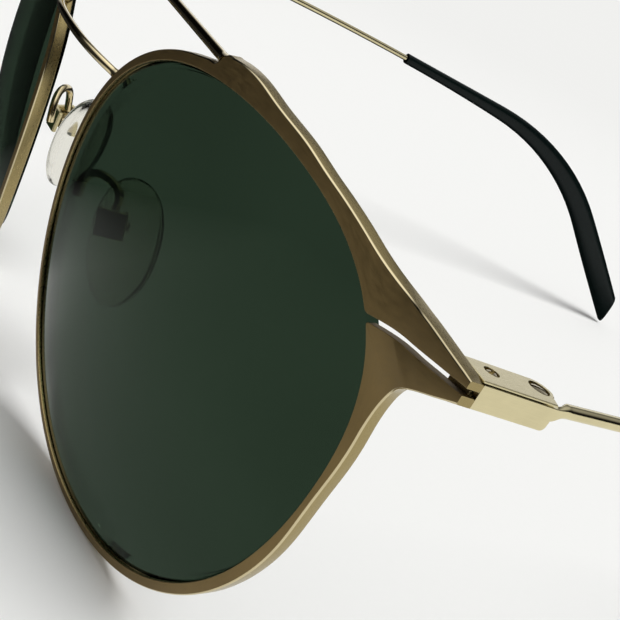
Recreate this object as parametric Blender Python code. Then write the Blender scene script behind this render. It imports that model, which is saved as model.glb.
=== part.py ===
"""Metal sunglasses with a double bridge, slotted rim corners and folding temples.

Metres, +Z up. The front faces -Y, the wearer's left is +X, and the rims and the
temple tips stand on Z = 0 with the origin under the middle of the whole pair.
"""
import math

import bmesh
import bpy
import numpy as np
from mathutils import Matrix

# Lens opening and the way the front is bent
LENS_WIDTH = 0.0511
LENS_HEIGHT = 0.0453
BRIDGE_WIDTH = 0.0202
BASE_RADIUS = 0.0864
WRAP_DEGREES = 11.24
TILT_DEGREES = 4.85
LENS_OUTLINE = (
    (0.986, 0.097), (0.986, 0.406), (0.924, 0.601), (0.775, 0.786), (0.395, 0.958),
    (-0.078, 0.993), (-0.618, 0.830), (-0.932, 0.490), (-1.002, 0.097), (-0.865, -0.455),
    (-0.466, -0.910), (0.223, -0.945), (0.775, -0.508))

# Rim sheet
RIM_BAND = 0.00105
RIM_THICKNESS = 0.0013
RIM_THICKNESS_TOP = 0.0012
THICKNESS_FADE_LOW = 0.004
THICKNESS_FADE_HIGH = 0.014
FRONT_EDGE = 0.00018
INNER_EDGE = 0.00012
BACK_EDGE = 0.0001
GROOVE_DEPTH = 0.00038
GROOVE_HALF = 0.00028
GROOVE_SET = 0.00062
LUG_RISE = 0.0011
UPPER_FLARE = 0.0026
LOWER_FLARE = 0.0008
WAIST = 0.00043

# Arms from the rim corner to the closing block
ARM_REACH = 0.0089
ARM_AHEAD = 0.00035
ARM_SEAT = 0.0001
ARM_BLEND_START = 0.0009
ARM_BLEND_END = 0.0040
ARM_TOP_DROP = 0.00002
UPPER_ARM_END = 0.00058
LOWER_ARM_END = 0.00070
SLIT_WIDTH = 0.00055
SLIT_DEGREES = 9.8
CORNER_ROUND = 0.00035
ARM_FILLET_REACH = 0.0045
ARM_FILLET_DROP = 0.00214
END_SQUARE = 0.0012

# Lens
LENS_CLEARANCE = 0.00012
LENS_RECESS = 0.00042
LENS_THICKNESS = 0.0018
RIDGE_HEIGHT = 0.00032
RIDGE_HALF = 0.0002

# Bridges
BRIDGE_WIRE = 0.0009
BRIDGE_ANGLE = 147.6
BRIDGE_BOW = 0.0028
BRIDGE_ARCH = 0.0006
BROW_WIRE = 0.00098
SOLDER_GAP = 0.0001

# Closing block and hinge
BLOCK_DROP = 0.0038
BLOCK_LENGTH = 0.00635
BLOCK_WIDTH = 0.00314
BLOCK_HEIGHT = 0.0024
BLOCK_END_RADIUS = 0.00124
BLOCK_PITCH = 4.38
BLOCK_EDGE = 0.00006
PART_GAP = 0.00012
LIP_THICKNESS = 0.00016
LIP_LENGTH = 0.0069
EYE_HEIGHT = 0.0007
EYE_RADIUS = 0.00112
EYE_CLEARANCE = 0.0001
SLOT_LENGTH = 0.00165
RIM_SCREW_PLACE = 0.00185
RIM_SCREW_HEAD = 0.00055
RIM_SCREW_SHANK = 0.0003
HINGE_SCREW_HEAD = 0.0008
HINGE_SCREW_SHANK = 0.00042
SCREW_HEAD_HEIGHT = 0.00035
SCREW_CLEARANCE = 0.00008

# Temple
PLATE_FRONT = 0.00015
PLATE_LENGTH = 0.00695
PLATE_TOP = 0.0003
PLATE_BOTTOM = 0.00223
PLATE_THICKNESS = 0.0005
PLATE_ROUND = 0.0004
NECK_START = 0.0072
NECK_LENGTH = 0.0016
BAR_HEIGHT = 0.0010
BAR_WIDTH = 0.0010
BAR_RISE = 0.000324
BAR_EDGE = 0.00018
TEMPLE_RUN = 0.0841
TEMPLE_START_IN = 2.2
TEMPLE_END_IN = 3.6
TEMPLE_START_DROP = 1.634
TEMPLE_RUN_DROP = 7.37
BEND_RADIUS = 0.0568
BEND_DROP = 42.4

# Temple tip sleeve
SLEEVE_START = 0.060
SLEEVE_MOUTH_HEIGHT = 0.0019
SLEEVE_MOUTH_WIDTH = 0.0018
SLEEVE_END_HEIGHT = 0.0050
SLEEVE_END_WIDTH = 0.0022
SLEEVE_SLANT = 0.0019
SLEEVE_ROUND = 0.0012
CORE_LENGTH = 0.066
CORE_CLEARANCE = 0.00012

# Nose pads
PAD_SPACING = 0.0131
PAD_SETBACK = 0.0063
PAD_HEIGHT = 0.0212
PAD_LENGTH = 0.0140
PAD_WIDTH = 0.0080
PAD_THICKNESS = 0.0022
PAD_SPLAY = 18.0
PAD_LEAN = 14.0
PAD_TIP = 9.0
PAD_BOX_FORWARD = 0.0010
PAD_BOX_UP = 0.0020
PAD_BOX_HEIGHT = 0.0030
PAD_BOX_WIDTH = 0.0030
PAD_BOX_DEPTH = 0.0019
PAD_BOX_WALL = 0.0005
PAD_GAP = 0.00015
BOSS_HOLE = 0.00045
PAD_SCREW_SHANK = 0.00033
PAD_SCREW_HEAD = 0.0006
PAD_ARM_WIRE = 0.0009
PAD_ARM_ANGLE = 187.0
PAD_ARM_RISE = 0.0066

WIRE_SIDES = 10
ROUND_SIDES = 20


def smooth(value):
    """Smooth step from nought to one."""
    value = np.clip(value, 0.0, 1.0)
    return value * value * (3.0 - 2.0 * value)


def spline(points, steps, closed=False):
    """Cubic curve with even curvature through the points, sampled between each two."""
    points = np.asarray(points, float)
    loop = np.vstack([points, points[:1]]) if closed else points
    lengths = np.linalg.norm(np.diff(loop, axis=0), axis=1)
    chords = np.diff(loop, axis=0) / lengths[:, None]
    count = len(points)
    matrix = np.zeros((count, count))
    right = np.zeros_like(points)
    for i in range(count):
        if closed or 0 < i < count - 1:
            before, after = 1.0 / lengths[i - 1], 1.0 / lengths[i]
            matrix[i, i - 1] += before
            matrix[i, i] += 2.0 * (before + after)
            matrix[i, (i + 1) % count] += after
            right[i] = 3.0 * (chords[i - 1] * before + chords[i] * after)
    if not closed:
        matrix[0, :2] = 2.0, 1.0
        matrix[-1, -2:] = 1.0, 2.0
        right[0], right[-1] = 3.0 * chords[0], 3.0 * chords[-1]
    slopes = np.linalg.solve(matrix, right)
    slopes = np.vstack([slopes, slopes[:1]]) if closed else slopes
    t = np.linspace(0.0, 1.0, steps, endpoint=False)[:, None]
    rows = []
    for i, length in enumerate(lengths):
        a, b = loop[i], loop[i + 1]
        m, n = slopes[i] * length, slopes[i + 1] * length
        rows.append(a + t * m + t**2 * (3 * (b - a) - 2 * m - n) + t**3 * (2 * (a - b) + m + n))
    if not closed:
        rows.append(loop[-1:])
    return np.vstack(rows)


def turned(axis, degrees):
    """Rotation matrix about X, Y or Z as an array."""
    return np.array(Matrix.Rotation(math.radians(degrees), 3, axis))


# Lens opening in the rim's own axes, measured from its middle
outline = spline(LENS_OUTLINE, 24, closed=True)
outline -= (outline.max(axis=0) + outline.min(axis=0)) / 2.0
outline *= np.array([LENS_WIDTH, LENS_HEIGHT]) / np.ptp(outline, axis=0)
outline_angle = np.degrees(np.arctan2(outline[:, 1], outline[:, 0]))
outline_radius = np.hypot(outline[:, 0], outline[:, 1])


def opening_radius(degrees):
    """Distance of the lens opening's edge from its middle."""
    return np.interp(degrees, outline_angle, outline_radius, period=360.0)


def polar(degrees, outwards=0.0):
    """Point on the opening's edge, or beyond it."""
    radius = opening_radius(degrees) + outwards
    angle = np.radians(degrees)
    return np.stack([radius * np.cos(angle), radius * np.sin(angle)], axis=-1)


def on_sphere(places, depth):
    """Places across the rim put on the lens sphere, or behind it by the depth."""
    u, v = places[..., 0], places[..., 1]
    w = np.sqrt(BASE_RADIUS**2 - u * u - v * v)
    inward = np.stack([-u, w, -v], axis=-1) / BASE_RADIUS
    front = np.stack([u, BASE_RADIUS - w, v], axis=-1)
    return front + inward * np.expand_dims(depth, -1)


# Where the rim and the closing block stand
rim_turn = turned("Z", WRAP_DEGREES) @ turned("X", TILT_DEGREES)
opening_front = on_sphere(outline, np.zeros(len(outline))) @ rim_turn.T
band_front = on_sphere(outline * (1.0 + RIM_BAND / outline_radius[:, None]),
                       np.zeros(len(outline)))
lower_edge = (band_front + np.array([0.0, RIM_THICKNESS, 0.0])) @ rim_turn.T
lower_front = (band_front + np.array([0.0, FRONT_EDGE, 0.0])) @ rim_turn.T
rim_place = np.array([
    BRIDGE_WIDTH / 2.0 - opening_front[:, 0].min(), 0.0,
    -min(lower_edge[:, 2].min(), lower_front[:, 2].min())])
knee = on_sphere(polar(35.0, 0.0027), np.float64(0.0)) @ rim_turn.T + rim_place
pitch = math.radians(BLOCK_PITCH)
block_x = opening_front[:, 0].max() + rim_place[0] + ARM_REACH
block_z = rim_place[2] + LENS_HEIGHT / 2.0 - BLOCK_DROP
block_y = (knee[1] - ARM_AHEAD + (block_z - knee[2]) * math.tan(pitch)
           + (RIM_THICKNESS_TOP + ARM_SEAT) / math.cos(pitch))
block_place = np.array([block_x, block_y, block_z])
block_turn = turned("X", -BLOCK_PITCH)
axis_back = BLOCK_LENGTH
axis_in = BLOCK_WIDTH - BLOCK_END_RADIUS


def from_block(back, inboard, down):
    """Point given from the block's top front outer corner."""
    return block_place + block_turn @ np.array([-inboard, back, -down])


def to_rim(point):
    """The same point in the rim's own axes."""
    return rim_turn.T @ (np.asarray(point) - rim_place)


# The flat plane of the arms, in the rim's own axes
arm_front = to_rim(from_block(-ARM_SEAT - RIM_THICKNESS_TOP, 0.0, 0.0))
arm_normal = rim_turn.T @ block_turn @ np.array([0.0, 1.0, 0.0])
arm_corner = to_rim(from_block(0.0, 0.0, 0.0))[[0, 2]]


def thickness(places):
    """Sheet thickness, thinner towards the brow."""
    span = THICKNESS_FADE_HIGH - THICKNESS_FADE_LOW
    low = smooth((THICKNESS_FADE_HIGH - places[..., 1]) / span)
    return RIM_THICKNESS_TOP + (RIM_THICKNESS - RIM_THICKNESS_TOP) * low


def on_sheet(places, depth):
    """Places on the rim's sheet: the lens sphere running out into the arms' flat plane."""
    degrees = np.degrees(np.arctan2(places[..., 1], places[..., 0]))
    beyond = np.hypot(places[..., 0], places[..., 1]) - opening_radius(degrees)
    share = smooth((beyond - ARM_BLEND_START) / (ARM_BLEND_END - ARM_BLEND_START))
    share = share * smooth((places[..., 0] - LENS_WIDTH * 0.2) / (LENS_WIDTH * 0.16))
    share = np.expand_dims(share, -1)
    ball = on_sphere(places, np.zeros(places.shape[:-1]))
    offset = (places - arm_front[[0, 2]]) @ arm_normal[[0, 2]]
    flat = np.stack([places[..., 0], arm_front[1] - offset / arm_normal[1], places[..., 1]], -1)
    normal = (np.array([0.0, BASE_RADIUS, 0.0]) - ball) / BASE_RADIUS
    normal = normal * (1.0 - share) + arm_normal * share
    normal /= np.linalg.norm(normal, axis=-1, keepdims=True)
    return ball * (1.0 - share) + flat * share + normal * np.expand_dims(depth, -1)


def on_wall(places, depth, straight=1.0):
    """Points of a side wall at a depth under the sheet's face: milled straight back in the
    rim's own axes, or square to the sheet where straight is nought."""
    front = on_sheet(places, np.zeros(places.shape[:-1]))
    normal = on_sheet(places, np.ones(places.shape[:-1])) - front
    milled = np.array([0.0, 1.0, 0.0]) / normal[..., 1:2]
    share = np.expand_dims(straight, -1)
    return front + (normal * (1.0 - share) + milled * share) * np.expand_dims(depth, -1)


def rim_band(degrees):
    """Width of the rim's face beyond the opening: plain, waisted, flared, with the brow lug."""
    degrees = np.asarray(degrees, float)
    turn = (degrees + 180.0) % 360.0 - 180.0
    waist = -WAIST * np.exp(-((turn - 2.0) / 11.0) ** 2)
    lower = LOWER_FLARE * np.exp((np.minimum(turn, 22.0) - 22.0) / 3.6) * (turn < 36.0)
    upper = UPPER_FLARE * np.exp((36.3 - np.maximum(turn, 36.3)) / 5.3) * (turn >= 36.0)
    brow = 0.2 * UPPER_FLARE * 0.4 * smooth((turn - 36.0) / 6.0) * smooth((68.0 - turn) / 18.0)
    lug = LUG_RISE * smooth((102.6 - turn) / 3.2) * smooth((turn - 68.0) / 26.0)
    return RIM_BAND + waist + lower + upper + brow + lug


# Outer edge of the rim and its arms, from the upper arm's end round to the lower arm's
arm_top = arm_corner[1] - ARM_TOP_DROP
slit_rise = math.tan(math.radians(SLIT_DEGREES))
slit_top = arm_top - UPPER_ARM_END
arm_bottom = slit_top - SLIT_WIDTH - LOWER_ARM_END
ring_angles = np.array([43.5, 48, 54, 60, 67, 74, 80, 85, 89, 93, 96, 98, 99.5, 100.5, 101.5, 102.5,
                        104, 108, 114, 122, 131, 140, 149, 158, 168, 178, 188, 198, 208, 218,
                        228, 238, 248, 258, 268, 278, 288, 298, 308, 318, 328, 337, 345, 352,
                        358, 364, 370, 375, 379])
ring_outer = polar(ring_angles, rim_band(ring_angles))
knee_top = polar(38.9, RIM_BAND + UPPER_FLARE * 0.8)
arm_end_top = np.array([arm_corner[0], arm_top])
upper_edge = np.array([arm_end_top + (knee_top - arm_end_top) * share
                       for share in (0.0, 1.0 / 3.0, 2.0 / 3.0, 1.0)])
fillet = np.array([arm_corner[0] - ARM_FILLET_REACH, arm_bottom - ARM_FILLET_DROP])
waist_end = ring_outer[-1]
lower_edge_points = np.array([
    waist_end + (fillet - waist_end) * np.array([0.28, 0.62]),
    waist_end + (fillet - waist_end) * np.array([0.60, 0.84]),
    fillet,
    fillet * 0.58 + np.array([arm_corner[0], arm_bottom]) * 0.42,
    (arm_corner[0], arm_bottom)])
outer_edge = spline(np.vstack([upper_edge, ring_outer, lower_edge_points]), 8)
outer_angle = np.degrees(np.unwrap(np.arctan2(outer_edge[:, 1], outer_edge[:, 0])))
outer_run = np.concatenate([[0.0], np.cumsum(np.linalg.norm(np.diff(outer_edge, axis=0), axis=1))])


def run_at(degrees):
    """Distance along the outer edge at a direction from the opening's middle."""
    index = int(np.argmax(outer_angle >= degrees))
    share = (degrees - outer_angle[index - 1]) / (outer_angle[index] - outer_angle[index - 1])
    return outer_run[index - 1] + share * (outer_run[index] - outer_run[index - 1])


def outer_at(run):
    """Points at distances along the outer edge."""
    return np.stack([np.interp(run, outer_run, outer_edge[:, k]) for k in (0, 1)], axis=-1)


def slit_corner(start):
    """Where a wall of the slit, followed from its arm's end, meets the lens opening."""
    reach = np.linspace(0.0, LENS_WIDTH * 0.5, 4000)[:, None]
    line = start - reach * np.array([1.0, slit_rise])
    degrees = np.degrees(np.arctan2(line[:, 1], line[:, 0]))
    inside = np.hypot(line[:, 0], line[:, 1]) < opening_radius(degrees)
    index = int(np.argmax(inside))
    return line[index], float(degrees[index])


upper_start = np.array([arm_corner[0], slit_top])
lower_start = np.array([arm_corner[0], slit_top - SLIT_WIDTH])
upper, upper_angle = slit_corner(upper_start)
lower, lower_angle = slit_corner(lower_start)
round_angle = math.degrees(CORNER_ROUND / opening_radius(upper_angle))
first, last = upper_angle + round_angle, 360.0 + lower_angle - round_angle


def held_share(degrees, margin):
    """How much of the groove, or of the lens ridge in it, is there: none near the slit."""
    turn = (np.asarray(degrees, float) - first) % 360.0 + first
    return smooth((np.minimum(turn - first, last - turn) - margin) / 3.5)


def rim_stations():
    """Inner and outer points of each section of the rim, the share of its groove, and how far
    its outer wall is milled straight back."""
    direction = (upper_start - upper) / np.linalg.norm(upper_start - upper)
    inner, runs, groove = [], [], []
    top_run = run_at(39.6)
    for t in np.linspace(0.0, 1.0, 9):
        inner.append(upper_start + (upper + direction * CORNER_ROUND - upper_start) * t)
        runs.append(top_run * t)
        groove.append(0.0)
    after = polar(upper_angle + round_angle)
    before = upper + direction * CORNER_ROUND
    for t, run in zip((0.35, 0.7), (0.3, 0.6)):
        inner.append(before * (1 - t)**2 + upper * 2 * t * (1 - t) + after * t**2)
        runs.append(top_run + (run_at(44.0) - top_run) * run)
        groove.append(0.0)
    ring = np.concatenate([
        [first, 42.0, 47.0, 53.0, 60.0, 67.0, 74.0, 80.0, 85.0, 89.0, 93.0, 97.0],
        [99.7, 100.7, 101.7, 103.0, 107.0], np.arange(113.0, 340.0, 7.0),
        [344.0, 351.0, 358.0, 364.0, 369.0, 374.0, 379.0, 385.0, 390.0, last]])
    outward = np.interp(ring, [first, 60.0, 377.0, last], [44.0, 60.0, 377.0, 383.6])
    for degrees, beyond in zip(ring, outward):
        inner.append(polar(degrees))
        runs.append(run_at(beyond))
        groove.append(float(held_share(degrees, 0.0)))
    low_run = runs[-1]
    before = polar(last)
    direction = (lower_start - lower) / np.linalg.norm(lower_start - lower)
    after = lower + direction * CORNER_ROUND
    end_run = outer_run[-1]
    for t, run in zip((0.3, 0.65), (0.04, 0.08)):
        inner.append(before * (1 - t)**2 + lower * 2 * t * (1 - t) + after * t**2)
        runs.append(low_run + (end_run - low_run) * run)
        groove.append(0.0)
    for t in np.linspace(0.0, 1.0, 9):
        inner.append(after + (lower_start - after) * t)
        runs.append(low_run + (end_run - low_run) * (0.12 + 0.88 * t))
        groove.append(0.0)
    runs = np.array(runs)
    straight = smooth(runs / END_SQUARE) * smooth((end_run - runs) / END_SQUARE)
    return np.array(inner), outer_at(runs), np.array(groove), straight


def skin(name, rings, start_point=None, end_point=None):
    """Closed mesh over rings of equal length; each end is a flat face or comes to a point."""
    mesh = bmesh.new()
    rings = [np.asarray(ring, float) for ring in rings]
    count = len(rings[0])
    rows, before = [], {}
    for ring in rings:
        # A corner that lies where one of this ring or the last does is the same corner
        here, row = {}, []
        for point in ring:
            key = tuple(np.round(point, 9) + 0.0)
            vert = here.get(key) or before.get(key) or mesh.verts.new(point)
            here[key] = vert
            row.append(vert)
        rows.append(row)
        before = here
    for one, two in zip(rows, rows[1:]):
        for i in range(count):
            j = (i + 1) % count
            face = list(dict.fromkeys((one[i], one[j], two[j], two[i])))
            if len(face) > 2:
                mesh.faces.new(face)
    for row, point, first in ((rows[0], start_point, True), (rows[-1], end_point, False)):
        order = row[::-1] if first else row
        if point is None:
            mesh.faces.new(list(dict.fromkeys(order)))
        else:
            tip = mesh.verts.new(point)
            for i in range(count):
                mesh.faces.new((order[i], order[(i + 1) % count], tip))
    bmesh.ops.recalc_face_normals(mesh, faces=mesh.faces)
    data = bpy.data.meshes.new(name)
    mesh.to_mesh(data)
    mesh.free()
    return data


def material(name, color, roughness, metallic, alpha=1.0):
    """Principled material, made once for each name."""
    found = bpy.data.materials.get(name)
    if found:
        return found
    made = bpy.data.materials.new(name)
    made.use_nodes = True
    shader = made.node_tree.nodes["Principled BSDF"]
    shader.inputs["Base Color"].default_value = (*color, 1.0)
    shader.inputs["Roughness"].default_value = roughness
    shader.inputs["Metallic"].default_value = metallic
    shader.inputs["Alpha"].default_value = alpha
    made.diffuse_color = (*color, 1.0)
    return made


def put(name, data, look, place=(0.0, 0.0, 0.0), turn=None, parent=None, sharp=30.0):
    """Object for a mesh, stood at its place with its material."""
    made = bpy.data.objects.new(name, data)
    bpy.context.scene.collection.objects.link(made)
    if parent is not None:
        made.parent = parent
    made.location = [float(value) for value in place]
    if turn is not None:
        made.rotation_euler = Matrix(turn.tolist()).to_euler()
    data.materials.clear()
    data.materials.append(look)
    data.shade_smooth()
    data.set_sharp_from_angle(angle=math.radians(sharp))
    return made


def cut(target, cutters):
    """Take the cutters' space out of a mesh object and keep the result as its mesh."""
    for cutter in cutters:
        change = target.modifiers.new("cut", "BOOLEAN")
        change.operation = "DIFFERENCE"
        change.solver = "EXACT"
        change.object = cutter
    bpy.context.view_layer.update()
    graph = bpy.context.evaluated_depsgraph_get()
    result = bpy.data.meshes.new_from_object(target.evaluated_get(graph))
    target.modifiers.clear()
    target.data = result
    for cutter in cutters:
        bpy.data.objects.remove(cutter)
    return target


def mirrored(left, name, parent):
    """The wearer's right-hand piece, the left one seen in a mirror."""
    data = left.data.copy()
    mesh = bmesh.new()
    mesh.from_mesh(data)
    for vert in mesh.verts:
        vert.co.x = -vert.co.x
    bmesh.ops.reverse_faces(mesh, faces=mesh.faces)
    mesh.to_mesh(data)
    mesh.free()
    made = bpy.data.objects.new(name, data)
    bpy.context.scene.collection.objects.link(made)
    made.parent = parent
    made.location = (-left.location.x, left.location.y, left.location.z)
    turn = left.rotation_euler.to_matrix()
    flip = Matrix.Diagonal((-1.0, 1.0, 1.0))
    made.rotation_euler = (flip @ turn @ flip).to_euler()
    return made


def circle(radius, height, sides, centre=(0.0, 0.0)):
    """Ring of points about an upright axis."""
    angle = np.linspace(0.0, 2.0 * math.pi, sides, endpoint=False)
    x, y = centre[0] + radius * np.cos(angle), centre[1] + radius * np.sin(angle)
    return np.stack([x, y, np.full(sides, height)], axis=-1)


def turned_piece(name, profile, sides, centre=(0.0, 0.0)):
    """Solid of revolution from radius and height pairs, flat at both ends."""
    return skin(name, [circle(radius, height, sides, centre) for radius, height in profile])


def tube(path, radius, sides):
    """Rings of a round wire along a path, without twist."""
    path = np.asarray(path, float)
    tangent = np.gradient(path, axis=0)
    tangent /= np.linalg.norm(tangent, axis=1, keepdims=True)
    side = np.cross(tangent[0], (0.0, 0.3, 1.0))
    rings = []
    angle = np.linspace(0.0, 2.0 * math.pi, sides, endpoint=False)[:, None]
    for point, along in zip(path, tangent):
        side = side - along * (side @ along)
        side /= np.linalg.norm(side)
        other = np.cross(along, side)
        rings.append(point + radius * (np.cos(angle) * side + np.sin(angle) * other))
    return rings, tangent


def lay_on_plane(ring, along, point, normal):
    """Slide a wire's end ring along the wire until it lies on a plane."""
    steps = ((point - ring) @ normal) / (along @ normal)
    return ring + steps[:, None] * along


def box_rings(low, high):
    """Two rectangles, bottom and top, of an upright box."""
    (x, y, z), (r, s, t) = low, high
    return [[(x, y, h), (r, y, h), (r, s, h), (x, s, h)] for h in (z, t)]


def edged_box(low, high, edge):
    """Rings of an upright box with its upright and level edges broken."""
    (x, y, z), (r, s, t) = low, high
    rings = []
    for level, inset in ((z, edge), (z + edge, 0.0), (t - edge, 0.0), (t, edge)):
        a, b, c, d, e = x + inset, y + inset, r - inset, s - inset, edge
        rings.append([(a + e, b, level), (c - e, b, level), (c, b + e, level), (c, d - e, level),
                      (c - e, d, level), (a + e, d, level), (a, d - e, level), (a, b + e, level)])
    return rings


def build_rim(look, parent):
    """One rim: a sheet section carried from the upper arm's end round to the lower arm's."""
    inner, outer, groove, straight = rim_stations()
    across = outer - inner
    across /= np.linalg.norm(across, axis=1, keepdims=True)
    thick_in, thick_out = thickness(inner), thickness(outer)
    zero = np.zeros(len(inner))
    radial = inner / np.linalg.norm(inner, axis=1, keepdims=True)
    walls = (
        (outer - across * FRONT_EDGE, zero),
        (outer, zero + FRONT_EDGE),
        (outer, thick_out - BACK_EDGE),
        (outer - across * BACK_EDGE, thick_out))
    loops = (
        (inner + across * BACK_EDGE, thick_in),
        (inner, thick_in - BACK_EDGE),
        (inner, zero + GROOVE_SET + GROOVE_HALF),
        (inner + radial * (GROOVE_DEPTH * groove)[:, None], zero + GROOVE_SET),
        (inner, zero + GROOVE_SET - GROOVE_HALF),
        (inner, zero + INNER_EDGE),
        (inner + across * INNER_EDGE, zero))
    points = np.stack([on_wall(place, depth, straight) for place, depth in walls]
                      + [on_sheet(place, depth) for place, depth in loops], axis=1)
    return put("rim_left", skin("rim", points), look, rim_place, rim_turn, parent, 25.0)


def build_lens(look, parent):
    """One lens: a spherical shell with a bevelled ridge that sits in the rim's groove."""
    degrees = np.linspace(0.0, 360.0, 60, endpoint=False)
    edge = polar(degrees, -LENS_CLEARANCE)
    back = LENS_RECESS + LENS_THICKNESS
    rows = [(0.4, 0.0, LENS_RECESS), (0.78, 0.0, LENS_RECESS), (1.0, 0.0, LENS_RECESS),
            (1.0, 0.0, GROOVE_SET - RIDGE_HALF + LENS_RECESS * 0.2),
            (1.0, RIDGE_HEIGHT, GROOVE_SET + RIDGE_HALF * 0.2),
            (1.0, 0.0, GROOVE_SET + RIDGE_HALF), (1.0, 0.0, back),
            (0.78, 0.0, back), (0.4, 0.0, back)]
    rings = []
    held = held_share(degrees, 6.0)[:, None]
    for share, outwards, depth in rows:
        beyond = edge / np.linalg.norm(edge, axis=1, keepdims=True)
        place = edge * share + outwards * held * beyond
        rings.append(on_sphere(place, np.full(len(place), depth)))
    middle = np.zeros(2)
    front = on_sphere(middle, np.float64(LENS_RECESS))
    rear = on_sphere(middle, np.float64(back))
    return put("lens_left", skin("lens", rings, front, rear), look, rim_place, rim_turn, parent)


def to_model(points):
    """Rim axes to the pair's own axes."""
    return np.asarray(points) @ rim_turn.T + rim_place


def build_bridges(look, parent):
    """Lower bridge wire bowed forwards and a straight brow bar between the lugs."""
    half = polar(BRIDGE_ANGLE, RIM_BAND)
    wall = to_model(on_wall(half, thickness(half) / 2.0))
    lean = math.radians(BRIDGE_ANGLE)
    normal = rim_turn @ np.array([math.cos(lean), 0.0, math.sin(lean)])
    end = wall + normal * SOLDER_GAP
    t = np.linspace(-1.0, 1.0, 21)[:, None]
    bow = (1.0 - np.abs(t) ** 2.6) * np.array([0.0, -BRIDGE_BOW, BRIDGE_ARCH])
    path = np.array([[end[0], 0.0, 0.0]]) * t + np.array([[0.0, end[1], end[2]]]) + bow
    rings, along = tube(path, BRIDGE_WIRE / 2.0, WIRE_SIDES)
    flip = np.array([-1.0, 1.0, 1.0])
    rings[-1] = lay_on_plane(rings[-1], along[-1], end, normal)
    rings[0] = lay_on_plane(rings[0], along[0], end * flip, normal * flip)
    put("bridge", skin("bridge", rings), look, parent=parent, sharp=60.0)
    low, high = polar(102.3, rim_band(102.3)), polar(100.6, rim_band(100.6))
    middle = (low + high) / 2.0
    side = to_model(on_wall(middle, thickness(middle) / 2.0))
    slope = (high - low) / np.linalg.norm(high - low)
    normal = rim_turn @ np.array([-slope[1], 0.0, slope[0]])
    end = side + normal * SOLDER_GAP
    path = [(end[0] * share, end[1], end[2]) for share in np.linspace(-1.0, 1.0, 3)]
    rings, along = tube(path, BROW_WIRE / 2.0, WIRE_SIDES + 2)
    rings[-1] = lay_on_plane(rings[-1], along[-1], end, normal)
    rings[0] = lay_on_plane(rings[0], along[0], end * flip, normal * flip)
    put("brow_bar", skin("brow_bar", rings), look, parent=parent, sharp=60.0)


def block_outline(lip):
    """Plan of the block about the hinge axis; with the lip it reaches out over the plate."""
    axis = np.array([-axis_in, axis_back])
    angle = np.radians(np.concatenate([[-90.0, -76.0, -62.0], np.linspace(-48.0, 90.0, 10)]))
    arc = np.stack([-np.sin(angle), np.cos(angle)], axis=-1) * BLOCK_END_RADIUS + axis
    outer, slot = -(axis_in - BLOCK_END_RADIUS), axis_back - SLOT_LENGTH
    side = np.array([(outer, slot * 0.3), (outer, slot * 0.6), (outer, slot)])
    if lip:
        side = np.array([(0.0, 0.0), (0.0, slot), (0.0, LIP_LENGTH)])
        for k in range(3):
            arc[k] = side[2] * (0.75 - 0.25 * k) + arc[3] * (0.25 + 0.25 * k)
    return np.vstack([[(-BLOCK_WIDTH, 0.0), (outer, 0.0)], side, arc, [(-BLOCK_WIDTH, slot)]])


def level(plan, down):
    """Plan points at a level under the block's top."""
    return np.column_stack([plan, np.full(len(plan), -down)])


def toward_middle(plan, distance):
    """Plan drawn in a little, for a broken edge."""
    middle = plan.mean(axis=0)
    away = plan - middle
    return plan - np.sign(away) * distance


def screw_hole(head, shank, name):
    """Cutter for a screw: a seat for the head and a hole for the shank."""
    seat = SCREW_HEAD_HEIGHT + SCREW_CLEARANCE
    profile = [(head + SCREW_CLEARANCE, seat), (head + SCREW_CLEARANCE, -seat),
               (shank + SCREW_CLEARANCE, -seat), (shank + SCREW_CLEARANCE, -2.0 * BLOCK_HEIGHT)]
    return turned_piece(name, profile, ROUND_SIDES)


def build_block(metal, steel, parent):
    """Closing block in two halves, its two screws, all in the block's own axes."""
    wide, narrow = block_outline(True), block_outline(False)
    short = narrow.copy()
    short[:, 1] = np.minimum(short[:, 1], axis_back - SLOT_LENGTH)
    parting = (BLOCK_HEIGHT - PART_GAP) / 2.0
    slot = (BLOCK_HEIGHT - EYE_HEIGHT) / 2.0 - EYE_CLEARANCE
    upper = [level(toward_middle(wide, BLOCK_EDGE), 0.0), level(wide, BLOCK_EDGE),
             level(wide, LIP_THICKNESS), level(narrow, LIP_THICKNESS), level(narrow, slot),
             level(short, slot), level(short, parting)]
    lower = [level(short, BLOCK_HEIGHT - parting), level(short, BLOCK_HEIGHT - slot),
             level(narrow, BLOCK_HEIGHT - slot), level(narrow, BLOCK_HEIGHT - BLOCK_EDGE),
             level(toward_middle(narrow, BLOCK_EDGE), BLOCK_HEIGHT)]
    pieces = []
    screws = ((RIM_SCREW_PLACE, RIM_SCREW_HEAD, RIM_SCREW_SHANK),
              (axis_back, HINGE_SCREW_HEAD, HINGE_SCREW_SHANK))
    for name, rings in (("closing_block_upper_left", upper), ("closing_block_lower_left", lower)):
        piece = put(name, skin(name, rings), metal, block_place, block_turn, parent)
        cutters = []
        for back, head, shank in screws:
            spot = from_block(back, axis_in, 0.0)
            hole = put("hole", screw_hole(head, shank, "hole"), metal, spot, block_turn, parent)
            cutters.append(hole)
        pieces.append(cut(piece, cutters))
    for name, (back, head, shank) in zip(("rim_screw_left", "hinge_screw_left"), screws):
        edge = SCREW_CLEARANCE
        end = BLOCK_HEIGHT - 2.0 * edge
        profile = [(head - edge, 0.0), (head, -edge), (head, -SCREW_HEAD_HEIGHT),
                   (shank, -SCREW_HEAD_HEIGHT), (shank, -end + edge), (shank - edge, -end)]
        spot = from_block(back, axis_in, 0.0)
        mesh = turned_piece(name, profile, ROUND_SIDES)
        pieces.append(put(name, mesh, steel, spot, block_turn, parent))
    return pieces


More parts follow.
